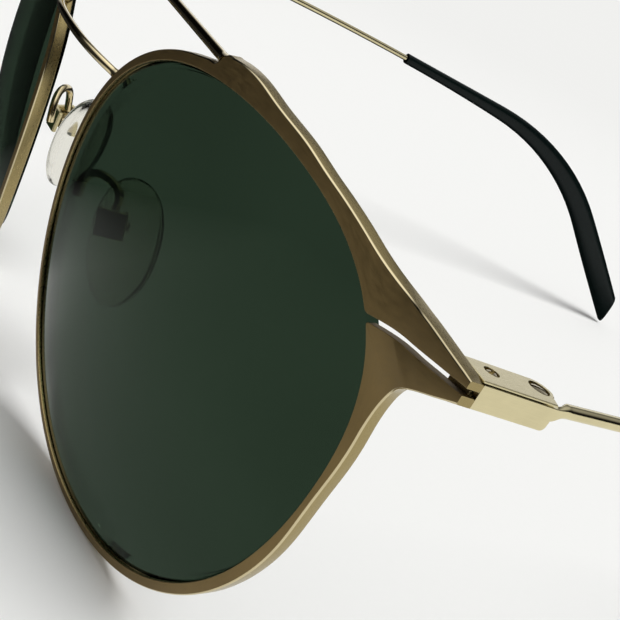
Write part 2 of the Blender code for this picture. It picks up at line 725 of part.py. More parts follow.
def temple_path():
    """Middle line of the temple from its neck to its tip, with the direction at each point."""
    start = from_block(PLATE_LENGTH, BAR_WIDTH / 2.0, BAR_RISE)
    run = np.linspace(0.0, TEMPLE_RUN, 22)
    bend = math.radians(BEND_DROP - TEMPLE_RUN_DROP) * BEND_RADIUS
    turn = np.linspace(0.0, bend, 13)[1:] + TEMPLE_RUN
    stations = np.concatenate([run, turn])
    down = np.where(stations <= TEMPLE_RUN,
                    TEMPLE_START_DROP + (TEMPLE_RUN_DROP - TEMPLE_START_DROP) * stations / TEMPLE_RUN,
                    TEMPLE_RUN_DROP + np.degrees((stations - TEMPLE_RUN) / BEND_RADIUS))
    full = stations[-1] / 0.82
    inward = TEMPLE_START_IN + (TEMPLE_END_IN - TEMPLE_START_IN) * stations / full
    down, inward = np.radians(down), np.radians(inward)
    along = np.stack([-np.sin(inward) * np.cos(down), np.cos(inward) * np.cos(down),
                      -np.sin(down)], axis=-1)
    middle = (along[1:] + along[:-1]) / 2.0
    steps = np.diff(stations)[:, None]
    points = start + np.vstack([np.zeros(3), np.cumsum(middle * steps, axis=0)])
    # The last run goes straight down to the ground, where the slanted end's low corner rests
    corner = SLEEVE_END_HEIGHT / 2.0 * math.cos(math.radians(BEND_DROP))
    rest = (points[-1, 2] - corner) / math.sin(math.radians(BEND_DROP)) - SLEEVE_SLANT
    extra = np.linspace(0.0, rest, 9)[1:]
    points = np.vstack([points, points[-1] + extra[:, None] * along[-1]])
    along = np.vstack([along, np.repeat(along[-1:], len(extra), axis=0)])
    return np.concatenate([stations, stations[-1] + extra]), points, along


def bar_ring(point, along, width, height, edge):
    """Rectangle with broken corners, square to the temple."""
    side = np.cross(along, (0.0, 0.0, 1.0))
    side /= np.linalg.norm(side)
    up = np.cross(side, along)
    w, h = width / 2.0, height / 2.0
    corners = ((w - edge, h), (w, h - edge), (w, edge - h), (w - edge, -h),
               (edge - w, -h), (-w, edge - h), (-w, h - edge), (edge - w, h))
    return np.array([point + side * x + up * z for x, z in corners])


def plate_ring(back, top, bottom, inboard, edge, outboard=0.0):
    """Section of the temple's plate, square to the block."""
    corners = ((-outboard - edge, top), (-outboard, top + edge), (-outboard, bottom - edge),
               (-outboard - edge, bottom), (edge - inboard, bottom), (-inboard, bottom - edge),
               (-inboard, top + edge), (edge - inboard, top))
    return np.array([block_place + block_turn @ np.array([x, back, -z]) for x, z in corners])


def build_temple(metal, steel, plastic, parent):
    """Temple of one piece with its plate, the hinge eye behind the plate and the tip sleeve."""
    axis_point = from_block(axis_back, axis_in, 0.0)
    stations, points, along = temple_path()
    edge = BAR_EDGE * 0.5
    rings = [plate_ring(back, PLATE_TOP, PLATE_BOTTOM, PLATE_THICKNESS, edge)
             for back in (PLATE_FRONT, PLATE_FRONT + PLATE_LENGTH * 0.45)]
    for turn in np.radians((0.0, 30.0, 60.0, 85.0)):
        back = PLATE_LENGTH - PLATE_ROUND * (1.0 - math.sin(turn))
        bottom = PLATE_BOTTOM - PLATE_ROUND * (1.0 - math.cos(turn))
        rings.append(plate_ring(back, PLATE_TOP, bottom, PLATE_THICKNESS, edge))
    under = BAR_RISE + BAR_HEIGHT / 2.0
    root = under + (PLATE_BOTTOM - PLATE_ROUND - under) * 0.18
    rings.append(plate_ring(PLATE_LENGTH + edge * 0.1, PLATE_TOP, root, PLATE_THICKNESS, edge))
    fade = under + (root - under) * 0.4
    rings.append(plate_ring(NECK_START - edge * 0.2, PLATE_TOP, fade, PLATE_THICKNESS, edge))
    top = BAR_RISE - BAR_HEIGHT / 2.0
    slope = math.tan(math.radians(BLOCK_PITCH - TEMPLE_START_DROP))
    drift = math.tan(math.radians(TEMPLE_START_IN))
    for share in (0.0, 0.12, 0.4, 0.7):
        back = NECK_START + NECK_LENGTH * share
        rise = (back - PLATE_LENGTH) * slope
        inside = PLATE_THICKNESS + (BAR_WIDTH - PLATE_THICKNESS) * float(smooth(share * 1.2 - 0.1))
        low = under + (fade - under) * (1.0 - share)
        outboard = (back - PLATE_LENGTH) * drift
        rings.append(plate_ring(back, top - rise, low - rise, inside, edge, outboard))
    begin = NECK_START + NECK_LENGTH - PLATE_LENGTH
    core_end = SLEEVE_START + CORE_LENGTH
    reach = np.concatenate([[begin], stations[(stations > begin + 0.0015) & (stations < core_end)]])
    for place in np.append(reach, core_end):
        point = np.array([np.interp(place, stations, points[:, k]) for k in range(3)])
        way = np.array([np.interp(place, stations, along[:, k]) for k in range(3)])
        rings.append(bar_ring(point, way / np.linalg.norm(way), BAR_WIDTH, BAR_HEIGHT, BAR_EDGE))
    local = [(ring - axis_point) @ block_turn for ring in rings]
    temple = put("temple_left", skin("temple", local), metal, axis_point, block_turn, parent)

    reach = axis_in - PLATE_THICKNESS - ARM_SEAT * 0.6
    angle = np.radians(np.linspace(0.0, 180.0, 15))
    disc = np.stack([-np.sin(angle), np.cos(angle)], axis=-1) * EYE_RADIUS
    web = np.array([(reach, -EYE_RADIUS), (reach, EYE_RADIUS)])
    plan = np.vstack([disc, web])
    middle = BLOCK_HEIGHT / 2.0
    eye_rings = [level(plan, middle - EYE_HEIGHT / 2.0), level(plan, middle + EYE_HEIGHT / 2.0)]
    eye = put("temple_eye_left", skin("eye", eye_rings), steel, axis_point, block_turn, parent)
    bore = HINGE_SCREW_SHANK + SCREW_CLEARANCE
    drill = turned_piece("drill", [(bore, BLOCK_HEIGHT), (bore, -2.0 * BLOCK_HEIGHT)], ROUND_SIDES)
    eye = cut(eye, [put("drill", drill, metal, axis_point, block_turn, parent)])

    return [temple, eye, build_sleeve(stations, points, along, axis_point, plastic, parent)]


def sleeve_ring(point, along, width, height, sides=12):
    """Rounded upright section of the tip."""
    side = np.cross(along, (0.0, 0.0, 1.0))
    side /= np.linalg.norm(side)
    up = np.cross(side, along)
    angle = np.linspace(0.0, 2.0 * math.pi, sides, endpoint=False)
    x = np.sign(np.cos(angle)) * np.abs(np.cos(angle)) ** 0.7 * width / 2.0
    z = np.sign(np.sin(angle)) * np.abs(np.sin(angle)) ** 0.7 * height / 2.0
    return point + x[:, None] * side + z[:, None] * up, up, z


def build_sleeve(stations, points, along, axis_point, look, parent):
    """Tip bored for the temple's core, growing deeper towards its slanted, rounded end."""
    total = stations[-1]

    def at(place):
        point = np.array([np.interp(place, stations, points[:, k]) for k in range(3)])
        way = np.array([np.interp(place, stations, along[:, k]) for k in range(3)])
        return point, way / np.linalg.norm(way)

    rings = []
    bore_w, bore_h = BAR_WIDTH + 2.0 * CORE_CLEARANCE, BAR_HEIGHT + 2.0 * CORE_CLEARANCE
    bottom = SLEEVE_START + CORE_LENGTH + 2.0 * CORE_CLEARANCE
    inner = stations[(stations > SLEEVE_START + 0.002) & (stations < bottom - 0.002)]
    for place in np.concatenate([[bottom], inner[::-1], [SLEEVE_START]]):
        point, way = at(place)
        ring, up, z = sleeve_ring(point, way, bore_w * 1.06, bore_h * 1.06)
        rings.append(ring)
    outer = stations[(stations > SLEEVE_START + 0.002) & (stations < total - 2.5 * SLEEVE_ROUND)]
    for place in np.concatenate([[SLEEVE_START], outer]):
        point, way = at(place)
        share = float(smooth((place - SLEEVE_START) / (total - SLEEVE_START) * 1.15))
        width = SLEEVE_MOUTH_WIDTH + (SLEEVE_END_WIDTH - SLEEVE_MOUTH_WIDTH) * share
        height = SLEEVE_MOUTH_HEIGHT + (SLEEVE_END_HEIGHT - SLEEVE_MOUTH_HEIGHT) * share
        rings.append(sleeve_ring(point, way, width, height)[0])
    for turn in np.radians((0.0, 25.0, 48.0, 68.0, 86.0)):
        place = total - SLEEVE_ROUND * (1.0 - math.sin(turn))
        point, way = at(place)
        shrink = SLEEVE_ROUND * (1.0 - math.cos(turn))
        width = SLEEVE_END_WIDTH - 1.4 * shrink
        height = SLEEVE_END_HEIGHT - 0.9 * shrink
        ring, up, z = sleeve_ring(point, way, width, height)
        slant = -z / (SLEEVE_END_HEIGHT / 2.0) * SLEEVE_SLANT
        rings.append(ring + slant[:, None] * way)
    local = [(ring - axis_point) @ block_turn for ring in rings]
    return put("temple_tip_left", skin("tip", local), look, axis_point, block_turn, parent, 40.0)


# Nose pads: the pad's own axes run outboard, rearward along its screw, and up its length
pad_turn = turned("Z", -PAD_SPLAY) @ turned("X", PAD_TIP) @ turned("Y", -PAD_LEAN)
pad_place = np.array([PAD_SPACING, PAD_SETBACK, PAD_HEIGHT])
pivot_out = PAD_THICKNESS / 2.0 + 2.0 * PAD_GAP + PAD_BOX_DEPTH / 2.0
pad_pivot = pad_place + pad_turn @ np.array([pivot_out, -PAD_BOX_FORWARD, PAD_BOX_UP])


def build_pad(clear, gold, steel, parent):
    """Soft pad on a boss that rocks in a small open box at the end of a bent wire arm."""
    angle = np.linspace(0.0, 2.0 * math.pi, 28, endpoint=False)
    length = np.sign(np.sin(angle)) * np.abs(np.sin(angle)) ** 0.9 * PAD_LENGTH / 2.0
    across = np.cos(angle) * PAD_WIDTH / 2.0
    across = np.where(across < 0.0, across * 0.82, across) + PAD_WIDTH * 0.045
    rings = []
    for share, out in ((0.55, 0.50), (0.90, 0.38), (1.0, 0.05), (0.97, -0.22), (0.80, -0.44), (0.45, -0.5)):
        crown = np.full(len(angle), out * PAD_THICKNESS)
        rings.append(np.stack([crown, across * share, length * share], axis=-1))
    offset = np.array([-pivot_out, PAD_BOX_FORWARD, -PAD_BOX_UP])
    rings = [ring + offset for ring in rings]
    face = offset + np.array([-0.5 * PAD_THICKNESS, 0.0, 0.0])
    back = offset + np.array([0.5 * PAD_THICKNESS, 0.0, 0.0])
    pad = put("nose_pad_left", skin("pad", rings, back, face), clear, pad_pivot, pad_turn, parent, 50.0)

    wall, gap = PAD_BOX_WALL, PAD_GAP
    half_w, half_h, half_d = PAD_BOX_WIDTH / 2.0, PAD_BOX_HEIGHT / 2.0, PAD_BOX_DEPTH / 2.0
    shell = put("pad_box_left", skin("box", edged_box((-half_d, -half_w, -half_h),
                                                      (half_d, half_w, half_h), gap)),
                gold, pad_pivot, pad_turn, parent)
    room = put("room", skin("room", box_rings((-2.0 * half_d, wall - half_w, -2.0 * half_h),
                                              (half_d - wall, half_w - wall, 2.0 * half_h))),
               gold, pad_pivot, pad_turn, parent)
    hole = PAD_SCREW_SHANK + SCREW_CLEARANCE
    drill = put_drill("drill", hole, gold, parent)
    shell = cut(shell, [room, drill])

    boss_d = half_d - wall - gap
    boss_w = half_w - wall - gap
    boss_h = half_h * 0.52
    rings = edged_box((-half_d - gap * 1.5, -boss_w, -boss_h), (boss_d, boss_w, boss_h), gap)
    boss = put("pad_insert_left", skin("boss", rings), steel, pad_pivot, pad_turn, parent)
    boss = cut(boss, [put_drill("drill", BOSS_HOLE, steel, parent)])

    head = half_w + gap * 0.5
    profile = [(PAD_SCREW_SHANK * 0.7, -half_w), (PAD_SCREW_SHANK, gap - half_w),
               (PAD_SCREW_SHANK, head), (PAD_SCREW_HEAD, head),
               (PAD_SCREW_HEAD, head + gap), (PAD_SCREW_HEAD - gap, head + 2.0 * gap)]
    rings = [circle(radius, 0.0, 14)[:, [0, 2, 1]] + np.array([0.0, place, 0.0])
             for radius, place in profile]
    screw = put("pad_screw_left", skin("pad_screw", rings), steel, pad_pivot, pad_turn, parent)

    root = polar(PAD_ARM_ANGLE, RIM_BAND * 0.5)
    normal = rim_turn @ (np.array([0.0, BASE_RADIUS, 0.0]) - on_sphere(root, np.float64(0.0)))
    normal /= np.linalg.norm(normal)
    start = to_model(on_sphere(root, thickness(root) + SOLDER_GAP))
    seat = pad_pivot + pad_turn @ np.array([0.0, 0.0, half_h + SOLDER_GAP])
    up = pad_turn @ np.array([0.0, 0.0, 1.0])
    rise = PAD_ARM_RISE
    reach = seat[0] - start[0]
    knots = [start, start + np.array([0.0, 0.16, 0.14]) * rise,
             start + np.array([0.0, 0.18, 0.60]) * rise,
             start + np.array([reach * 0.35, rise * 0.22, rise]),
             start + np.array([reach * 0.78, rise * 0.38, rise * 1.06]),
             seat + np.array([reach * 0.12, -rise * 0.06, rise * 0.30]), seat]
    path = spline(knots, 4)
    rings, along = tube(path, PAD_ARM_WIRE / 2.0, WIRE_SIDES)
    rings[0] = lay_on_plane(rings[0], along[0], start, normal)
    rings[-1] = lay_on_plane(rings[-1], along[-1], seat, up)
    arm = put("nose_pad_arm_left", skin("pad_arm", rings), gold, parent=parent, sharp=60.0)
    return [pad, shell, boss, screw, arm]


def put_drill(name, radius, look, parent):
    """Cutter along the pad screw's axis."""
    reach = PAD_BOX_WIDTH
    rings = [circle(radius, 0.0, 14)[:, [0, 2, 1]] + np.array([0.0, place, 0.0])
             for place in (-reach, reach)]
    return put(name, skin(name, rings), look, pad_pivot, pad_turn, parent)


def stand(parent):
    """Move the whole pair so that its lowest point is on Z = 0 and it is centred in plan."""
    bpy.context.view_layer.update()
    corners = np.array([(piece.matrix_world @ vert.co)[:] for piece in bpy.data.objects
                        if piece.type == "MESH" for vert in piece.data.vertices])
    middle = (corners.max(axis=0) + corners.min(axis=0)) / 2.0
    parent.location = (0.0, -middle[1], -corners[:, 2].min())
    bpy.context.view_layer.update()


def main():
    for item in list(bpy.data.objects):
        bpy.data.objects.remove(item)
    pair = bpy.data.objects.new("sunglasses", None)
    bpy.context.scene.collection.objects.link(pair)
    bronze = material("brushed_gold", (0.33, 0.25, 0.13), 0.38, 1.0)
    polished = material("polished_gold", (0.62, 0.50, 0.30), 0.15, 1.0)
    satin = material("satin_gold", (0.60, 0.53, 0.36), 0.30, 1.0)
    steel = material("screw_steel", (0.45, 0.42, 0.36), 0.30, 1.0)
    glass = material("green_lens", (0.015, 0.035, 0.022), 0.05, 0.0)
    plastic = material("tip_plastic", (0.004, 0.012, 0.010), 0.30, 0.0)
    clear = material("pad_silicone", (0.75, 0.76, 0.72), 0.25, 0.0, 0.35)
    lefts = [build_rim(bronze, pair), build_lens(glass, pair)]
    build_bridges(polished, pair)
    lefts += build_block(satin, steel, pair)
    lefts += build_temple(satin, steel, plastic, pair)
    lefts += build_pad(clear, polished, steel, pair)
    for left in lefts:
        mirrored(left, left.name.replace("_left", "_right"), pair)
    stand(pair)


if __name__ == "__main__":
    main()
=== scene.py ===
"""Metal sunglasses dressed for a studio picture: every visible piece is a smooth surface
worked out in the solid model's own frame, with +X to the wearer's left, +Y back along the
temples and +Z up. The wearer's right-hand pieces are the left ones mirrored in X.
"""
import contextlib
import math

import bmesh
import bpy
import numpy as np
from mathutils import Matrix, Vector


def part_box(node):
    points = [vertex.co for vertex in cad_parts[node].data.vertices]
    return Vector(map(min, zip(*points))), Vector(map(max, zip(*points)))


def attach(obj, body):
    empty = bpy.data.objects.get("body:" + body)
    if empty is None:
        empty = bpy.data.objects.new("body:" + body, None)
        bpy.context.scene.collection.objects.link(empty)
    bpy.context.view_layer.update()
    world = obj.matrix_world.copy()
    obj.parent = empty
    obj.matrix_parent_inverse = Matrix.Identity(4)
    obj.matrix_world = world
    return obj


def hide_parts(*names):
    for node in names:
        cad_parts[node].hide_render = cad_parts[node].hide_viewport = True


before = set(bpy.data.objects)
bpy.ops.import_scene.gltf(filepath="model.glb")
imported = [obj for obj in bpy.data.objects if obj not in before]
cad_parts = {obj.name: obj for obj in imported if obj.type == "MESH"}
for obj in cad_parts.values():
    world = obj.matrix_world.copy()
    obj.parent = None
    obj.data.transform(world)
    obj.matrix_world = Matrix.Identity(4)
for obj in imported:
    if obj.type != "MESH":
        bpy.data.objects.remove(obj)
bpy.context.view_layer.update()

bl_info = {
    "name": "Round Metal Sunglasses",
    "version": (1, 0, 0),
    "blender": (4, 5, 0),
    "location": "3D View > Sidebar > Sunglasses",
    "description": "Builds the visible pieces of metal sunglasses over their solid model",
    "category": "Add Mesh",
}

MM = 0.001
SIDES = (("left", 1.0), ("right", -1.0))

# Sizes shared with the solids, in millimetres, and angles in degrees
LENS_WIDTH, LENS_HEIGHT, BRIDGE_GAP, BASE_RADIUS = 51.1, 45.3, 20.2, 86.4
WRAP, TILT = 11.24, 4.85
OUTLINE = (
    (0.986, 0.097), (0.986, 0.406), (0.924, 0.601), (0.775, 0.786), (0.395, 0.958),
    (-0.078, 0.993), (-0.618, 0.830), (-0.932, 0.490), (-1.002, 0.097), (-0.865, -0.455),
    (-0.466, -0.910), (0.223, -0.945), (0.775, -0.508))
BAND, SHEET_LOW, SHEET_TOP, END_SQUARE = 1.05, 1.3, 1.2, 1.2
GROOVE_SET, GROOVE_DEPTH, GROOVE_HALF = 0.62, 0.38, 0.28
LENS_RECESS, LENS_THICK = 0.42, 1.8
ARM_REACH, ARM_AHEAD, ARM_SEAT, ARM_DROP = 8.9, 0.35, 0.1, 0.02
UPPER_END, LOWER_END, SLIT, SLIT_SLOPE, CORNER = 0.58, 0.70, 0.55, 9.8, 0.35
BLOCK_DROP, BLOCK_LENGTH, BLOCK_WIDTH, BLOCK_HEIGHT = 3.8, 6.35, 3.14, 2.4
BLOCK_END, BLOCK_SPLIT, PITCH = 1.24, 0.16, 4.38
BRIDGE_ANGLE, LUG_FOOT, LUG_CREST = 147.6, 102.3, 100.6
PLATE_START, PLATE_END, PLATE_TOP, PLATE_BOTTOM, PLATE_THICK = 0.15, 6.95, 0.30, 2.23, 0.5
PLATE_CORNER, NECK_START, NECK_LENGTH, BAR_RISE = 0.4, 7.2, 1.6, 0.324
TEMPLE_RUN, BEND_RADIUS = 84.1, 56.8
START_IN, END_IN, START_DROP, RUN_DROP, BEND_DROP = 2.2, 3.6, 1.634, 7.37, 42.4
SLEEVE_START, CORE_LENGTH, SLEEVE_END_HEIGHT, SLEEVE_SLANT = 60.0, 66.0, 5.01, 2.0
MOUTH_WIDTH, MOUTH_HEIGHT, TIP_WIDTH, TIP_ROUND = 1.8, 1.9, 2.2, 1.2
PAD_PLACE, PAD_SPLAY, PAD_LEAN, PAD_TIP = (13.1, 6.3, 21.2), 18.0, 14.0, 9.0
PAD_LENGTH, PAD_WIDTH, PAD_THICK = 14.0, 8.0, 2.2
PAD_BOX_DEPTH, PAD_BOX_HEIGHT, PAD_GAP = 1.9, 3.0, 0.15
PAD_BOX_FORWARD, PAD_BOX_UP, PAD_ARM_ANGLE, PAD_ARM_RISE = 1.0, 2.0, 187.0, 6.6
RIM_SCREW_BACK, RIM_SCREW_HEAD, HINGE_SCREW_HEAD = 1.85, 0.55, 0.80

# Sizes that only the visible pieces have, in millimetres: the bar's drop at the plate, the
# saw cut's depth in the blocks, the gap that solder fills, broken corners, the screw heads
BAR_SET, SAW_DEPTH, SOLDER_GAP, BROKEN_CORNER = 0.2, 1.2, 0.03, 0.05
HEAD_GAP, HEAD_CROWN, HEAD_SINK, HEAD_THICK, SHANK = 0.12, 0.08, 0.10, 0.5, 1.2
DRIVE_WIDTH, DRIVE_DEPTH = 0.28, 0.30

# The stage: the camera's place from the left rim's origin in millimetres and its axes, as the
# photograph's perspective gives them, and the soft light overhead
CAMERA_LENS, CAMERA_SENSOR, CAMERA_PLACE = 69.26, 36.0, (87.243, -39.708, 44.663)
CAMERA_RIGHT, CAMERA_UP = (0.34995, 0.83456, 0.42549), (-0.50856, -0.2122, 0.83447)
CAMERA_BACK = (0.7867, -0.50841, 0.35017)
LAMP_STRENGTH, LAMP_SPREAD, LAMP_PLACE, ROOM_LIGHT = 2.65, 36.0, (0.46, 0.18, 0.87), 0.33
FLOOR_SIZE, FLOOR_DROP, PALE = 3.0, 2e-5, "#f2f2f0"


def linear(code):
    """A colour written as sRGB hex, turned into linear red, green, blue."""
    values = [int(code[i:i + 2], 16) / 255.0 for i in (1, 3, 5)]
    return tuple(v / 12.92 if v <= 0.04045 else ((v + 0.055) / 1.055) ** 2.4 for v in values)


def length(name, least, value, most, description):
    """A length that a user may change, given in millimetres with its limits."""
    return bpy.props.FloatProperty(
        name=name, description=description, default=value * MM, min=least * MM, max=most * MM,
        unit="LENGTH", subtype="DISTANCE")


def colour(name, code, description):
    """A colour that a user may change, given as sRGB hex."""
    return bpy.props.FloatVectorProperty(
        name=name, description=description, default=linear(code), subtype="COLOR", size=3,
        min=0.0, max=1.0)


class SunglassesSizes(bpy.types.PropertyGroup):
    """Sizes that a user may want to change, in metres."""

    bridge_wire: length("Bridge wire", 0.5, 0.90, 1.3, "Diameter of the bowed bridge wire")
    brow_wire: length("Brow bar", 0.5, 0.98, 1.3, "Diameter of the straight brow bar")
    pad_wire: length("Pad arm wire", 0.4, 0.88, 1.0, "Diameter of the nose pad arms' wire")
    bridge_bow: length("Bridge bow", 0.0, 2.8, 4.0, "How far the bridge wire bows forwards")
    bridge_arch: length("Bridge arch", 0.0, 0.6, 2.0, "How far the bridge wire rises midway")
    edge_break: length("Front edge", 0.05, 0.09, 0.3, "Width of the bevel round the rim's face")
    bar_size: length("Temple bar", 0.7, 1.0, 1.1, "Height and width of the temple's wire")
    tip_height: length("Tip end height", 3.0, 5.0, 5.0, "Height of the tip at its slanted end")


class SunglassesColours(bpy.types.PropertyGroup):
    """Colours of the finishes, linear, from sRGB hex values."""

    sheet: colour("Rim face", "#806d48", "Brushed antique gold of the rims' front faces")
    edge: colour("Rim edge", "#a09064", "Pale gold of the rims' cut edges")
    bevel: colour("Rim bevel", "#cec09a", "Bright polished bevel round the rims' front faces")
    wire: colour("Wires", "#ddcda4", "Polished gold of bridge, brow bar and pad arms")
    satin: colour("Hinges and temples", "#d8cda4", "Satin pale gold of blocks, plates and bars")
    screw: colour("Screws", "#b9ac8c", "Turned steel of the screws")
    lens: colour("Lens tint", "#273529", "Dark grey-green of the lenses")
    tip: colour("Temple tips", "#070f0e", "Green-black of the acetate tips")
    pad: colour("Nose pads", "#f1efe6", "Clear silicone of the nose pads")
    floor: colour("Floor", PALE, "Plain pale studio floor")


def smooth(value):
    """Smooth step from nought to one: 3t^2 - 2t^3, held at its ends."""
    value = np.clip(value, 0.0, 1.0)
    return value * value * (3.0 - 2.0 * value)


def turned(axis, degrees):
    """Rotation about X, Y or Z as a 3 x 3 array."""
    return np.array(Matrix.Rotation(math.radians(degrees), 3, axis))


def unit(vectors):
    """Vectors brought to length one."""
    return vectors / np.linalg.norm(vectors, axis=-1, keepdims=True)


def run_lengths(path):
    """Distance along a path at each of its points."""
    return np.concatenate([[0.0], np.cumsum(np.linalg.norm(np.diff(path, axis=0), axis=1))])


def spline(points, steps, closed=False):
    """Cubic through the points with even curvature: the slopes solve one linear system,
    and between two points the curve is the Hermite blend of their places and slopes."""
    points = np.asarray(points, float)
    loop = np.vstack([points, points[:1]]) if closed else points
    lengths = np.linalg.norm(np.diff(loop, axis=0), axis=1)
    chords = np.diff(loop, axis=0) / lengths[:, None]
    count = len(points)
    matrix, right = np.zeros((count, count)), np.zeros_like(points)
    for i in range(count):
        if closed or 0 < i < count - 1:
            before, after = 1.0 / lengths[i - 1], 1.0 / lengths[i]
            matrix[i, i - 1] += before
            matrix[i, i] += 2.0 * (before + after)
            matrix[i, (i + 1) % count] += after
            right[i] = 3.0 * (chords[i - 1] * before + chords[i] * after)
    if not closed:
        matrix[0, :2], matrix[-1, -2:] = (2.0, 1.0), (1.0, 2.0)
        right[0], right[-1] = 3.0 * chords[0], 3.0 * chords[-1]
    slopes = np.linalg.solve(matrix, right)
    slopes = np.vstack([slopes, slopes[:1]]) if closed else slopes
    t = np.linspace(0.0, 1.0, steps, endpoint=False)[None, :, None]
    a, b, span = loop[:-1, None], loop[1:, None], lengths[:, None, None]
    m, n = slopes[:-1, None] * span, slopes[1:, None] * span
    curve = a + t * m + t**2 * (3 * (b - a) - 2 * m - n) + t**3 * (2 * (a - b) + m + n)
    curve = curve.reshape(-1, points.shape[1])
    return curve if closed else np.vstack([curve, loop[-1:]])


def eased_corner(before, corner, after, t):
    """Points of the parabola that eases a corner: (1-t)^2 A + 2t(1-t) P + t^2 C."""
    return before * (1 - t) ** 2 + corner * 2 * t * (1 - t) + after * t**2


def rounded(loops, radii, steps=2):
    """Section corners (corners, stations, 3), each eased by a parabola that starts and ends
    on its two sides at the given distance."""
    radii = np.asarray(radii, float).reshape(-1, 1, 1)
    ends = []
    for shift in (1, -1):
        away = np.roll(loops, shift, axis=0) - loops
        reach = np.linalg.norm(away, axis=-1, keepdims=True) + 1e-12
        ends.append((loops + away / reach * np.minimum(radii, reach * 0.45))[:, None])
    t = np.linspace(0.0, 1.0, steps + 1).reshape(1, -1, 1, 1)
    return eased_corner(ends[0], loops[:, None], ends[1], t).reshape(-1, *loops.shape[1:])


def linked(name, data):
    """Object for some data, linked into the scene."""
    made = bpy.data.objects.new(name, data)
    bpy.context.scene.collection.objects.link(made)
    return made


def mesh_of(name, points, faces, looks, side=1.0):
    """Mesh of points and faces in their looks. On the right-hand side X changes sign and the
    faces turn over."""
    data = bpy.data.meshes.new(name)
    data.from_pydata((np.asarray(points) * np.array([side, 1.0, 1.0])).tolist(), [],
                     [face[::int(side)] for face in faces])
    for look in looks:
        data.materials.append(look_of(look))
    return data


@contextlib.contextmanager
def reworked(data):
    """A mesh opened for Blender's mesh operations and written back after them."""
    work = bmesh.new()
    work.from_mesh(data)
    yield work
    work.to_mesh(data)
    work.free()


def merged(data, reach):
    """The mesh with points closer than the reach joined and its faces turned outwards."""
    with reworked(data) as work:
        bmesh.ops.remove_doubles(work, verts=work.verts, dist=reach)
        bmesh.ops.recalc_face_normals(work, faces=work.faces)
    return data


def placed(name, data, body, node, sharp):
    """Object for a mesh that already has its place: smooth, riding on a body."""
    data.shade_smooth()
    data.set_sharp_from_angle(angle=math.radians(sharp))
    piece = linked(name, data)
    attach(piece, body)
    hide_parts(node)
    return piece


def made_piece(name, grid, looks, body, node, side=1.0, ends="flat", uv=None,
               face_slot=None, sharp=35.0):
    """Mesh of a grid of points (stations, round the section, 3) closed round its section.

    Each four neighbouring points make a face. The ends are flat faces, or are left where
    the grid already comes to a point. It rides on the body and stands for the solid node."""
    rows, count = grid.shape[:2]
    i, j = np.meshgrid(np.arange(rows - 1), np.arange(count), indexing="ij")
    k = (j + 1) % count
    quads = np.stack([i * count + j, i * count + k, (i + 1) * count + k, (i + 1) * count + j], -1)
    faces = quads.reshape(-1, 4).tolist()
    walls = len(faces)
    if ends == "flat":
        faces += [list(range(count))[::-1], list(range((rows - 1) * count, rows * count))]
    data = mesh_of(name, grid.reshape(-1, 3), faces, looks, side)
    if face_slot is not None:
        index = np.ones(len(faces), np.int32)
        index[:walls] = face_slot.reshape(-1)
        data.polygons.foreach_set("material_index", index)
    if uv is not None:
        layer = data.uv_layers.new(name="grain")
        corner = np.zeros(len(data.loops), np.int32)
        data.loops.foreach_get("vertex_index", corner)
        values = np.stack([part.reshape(-1)[corner] for part in uv], -1)
        layer.data.foreach_set("uv", values.astype(np.float32).reshape(-1))
    return placed(name, merged(data, 2e-7), body, node, sharp)


def grain_uv(middle, around):
    """Grain coordinates of a grid, in metres: how far along its middle line and round it."""
    along = np.repeat(run_lengths(middle)[:, None], len(around), axis=1)
    return along * MM, np.tile(around, (len(middle), 1)) * MM


# The rim's outline and the way it is bent, in millimetres in the rim's own axes
outline = spline(OUTLINE, 24, closed=True)
outline -= (outline.max(axis=0) + outline.min(axis=0)) / 2.0
outline *= np.array([LENS_WIDTH, LENS_HEIGHT]) / np.ptp(outline, axis=0)
outline_angle = np.degrees(np.arctan2(outline[:, 1], outline[:, 0]))
outline_radius = np.hypot(outline[:, 0], outline[:, 1])


def opening_radius(degrees):
    """Distance of the lens opening's edge from its middle."""
    return np.interp(degrees, outline_angle, outline_radius, period=360.0)


def polar(degrees, outwards=0.0):
    """Point on the opening's edge, or beyond it."""
    radius, angle = opening_radius(degrees) + outwards, np.radians(degrees)
    return np.stack([radius * np.cos(angle), radius * np.sin(angle)], axis=-1)


def on_sphere(places, depth):
    """Places across the rim put on the lens sphere: (u, R - sqrt(R^2 - u^2 - v^2), v), then
    moved inwards by the depth along the radius."""
    u, v = places[..., 0], places[..., 1]
    w = np.sqrt(BASE_RADIUS**2 - u * u - v * v)
    inward = np.stack([-u, w, -v], axis=-1) / BASE_RADIUS
    front = np.stack([u, BASE_RADIUS - w, v], axis=-1)
    return front + inward * np.expand_dims(depth, -1)


def from_rim(points):
    """The rim's own axes to the pair's axes, in millimetres."""
    return np.asarray(points) @ rim_turn.T + rim_place


def to_rim(point):
    """A point of the pair's axes in the rim's own axes."""
    return rim_turn.T @ (np.asarray(point) - rim_place)


def from_block(back, inboard, down):
    """Point given from the block's top front outer corner, in millimetres."""
    return block_place + block_turn @ np.array([-inboard, back, -down])


def metres(points):
    """Millimetres in the pair's own axes to metres in the solid model's frame."""
    return (np.asarray(points) + STAND) * MM


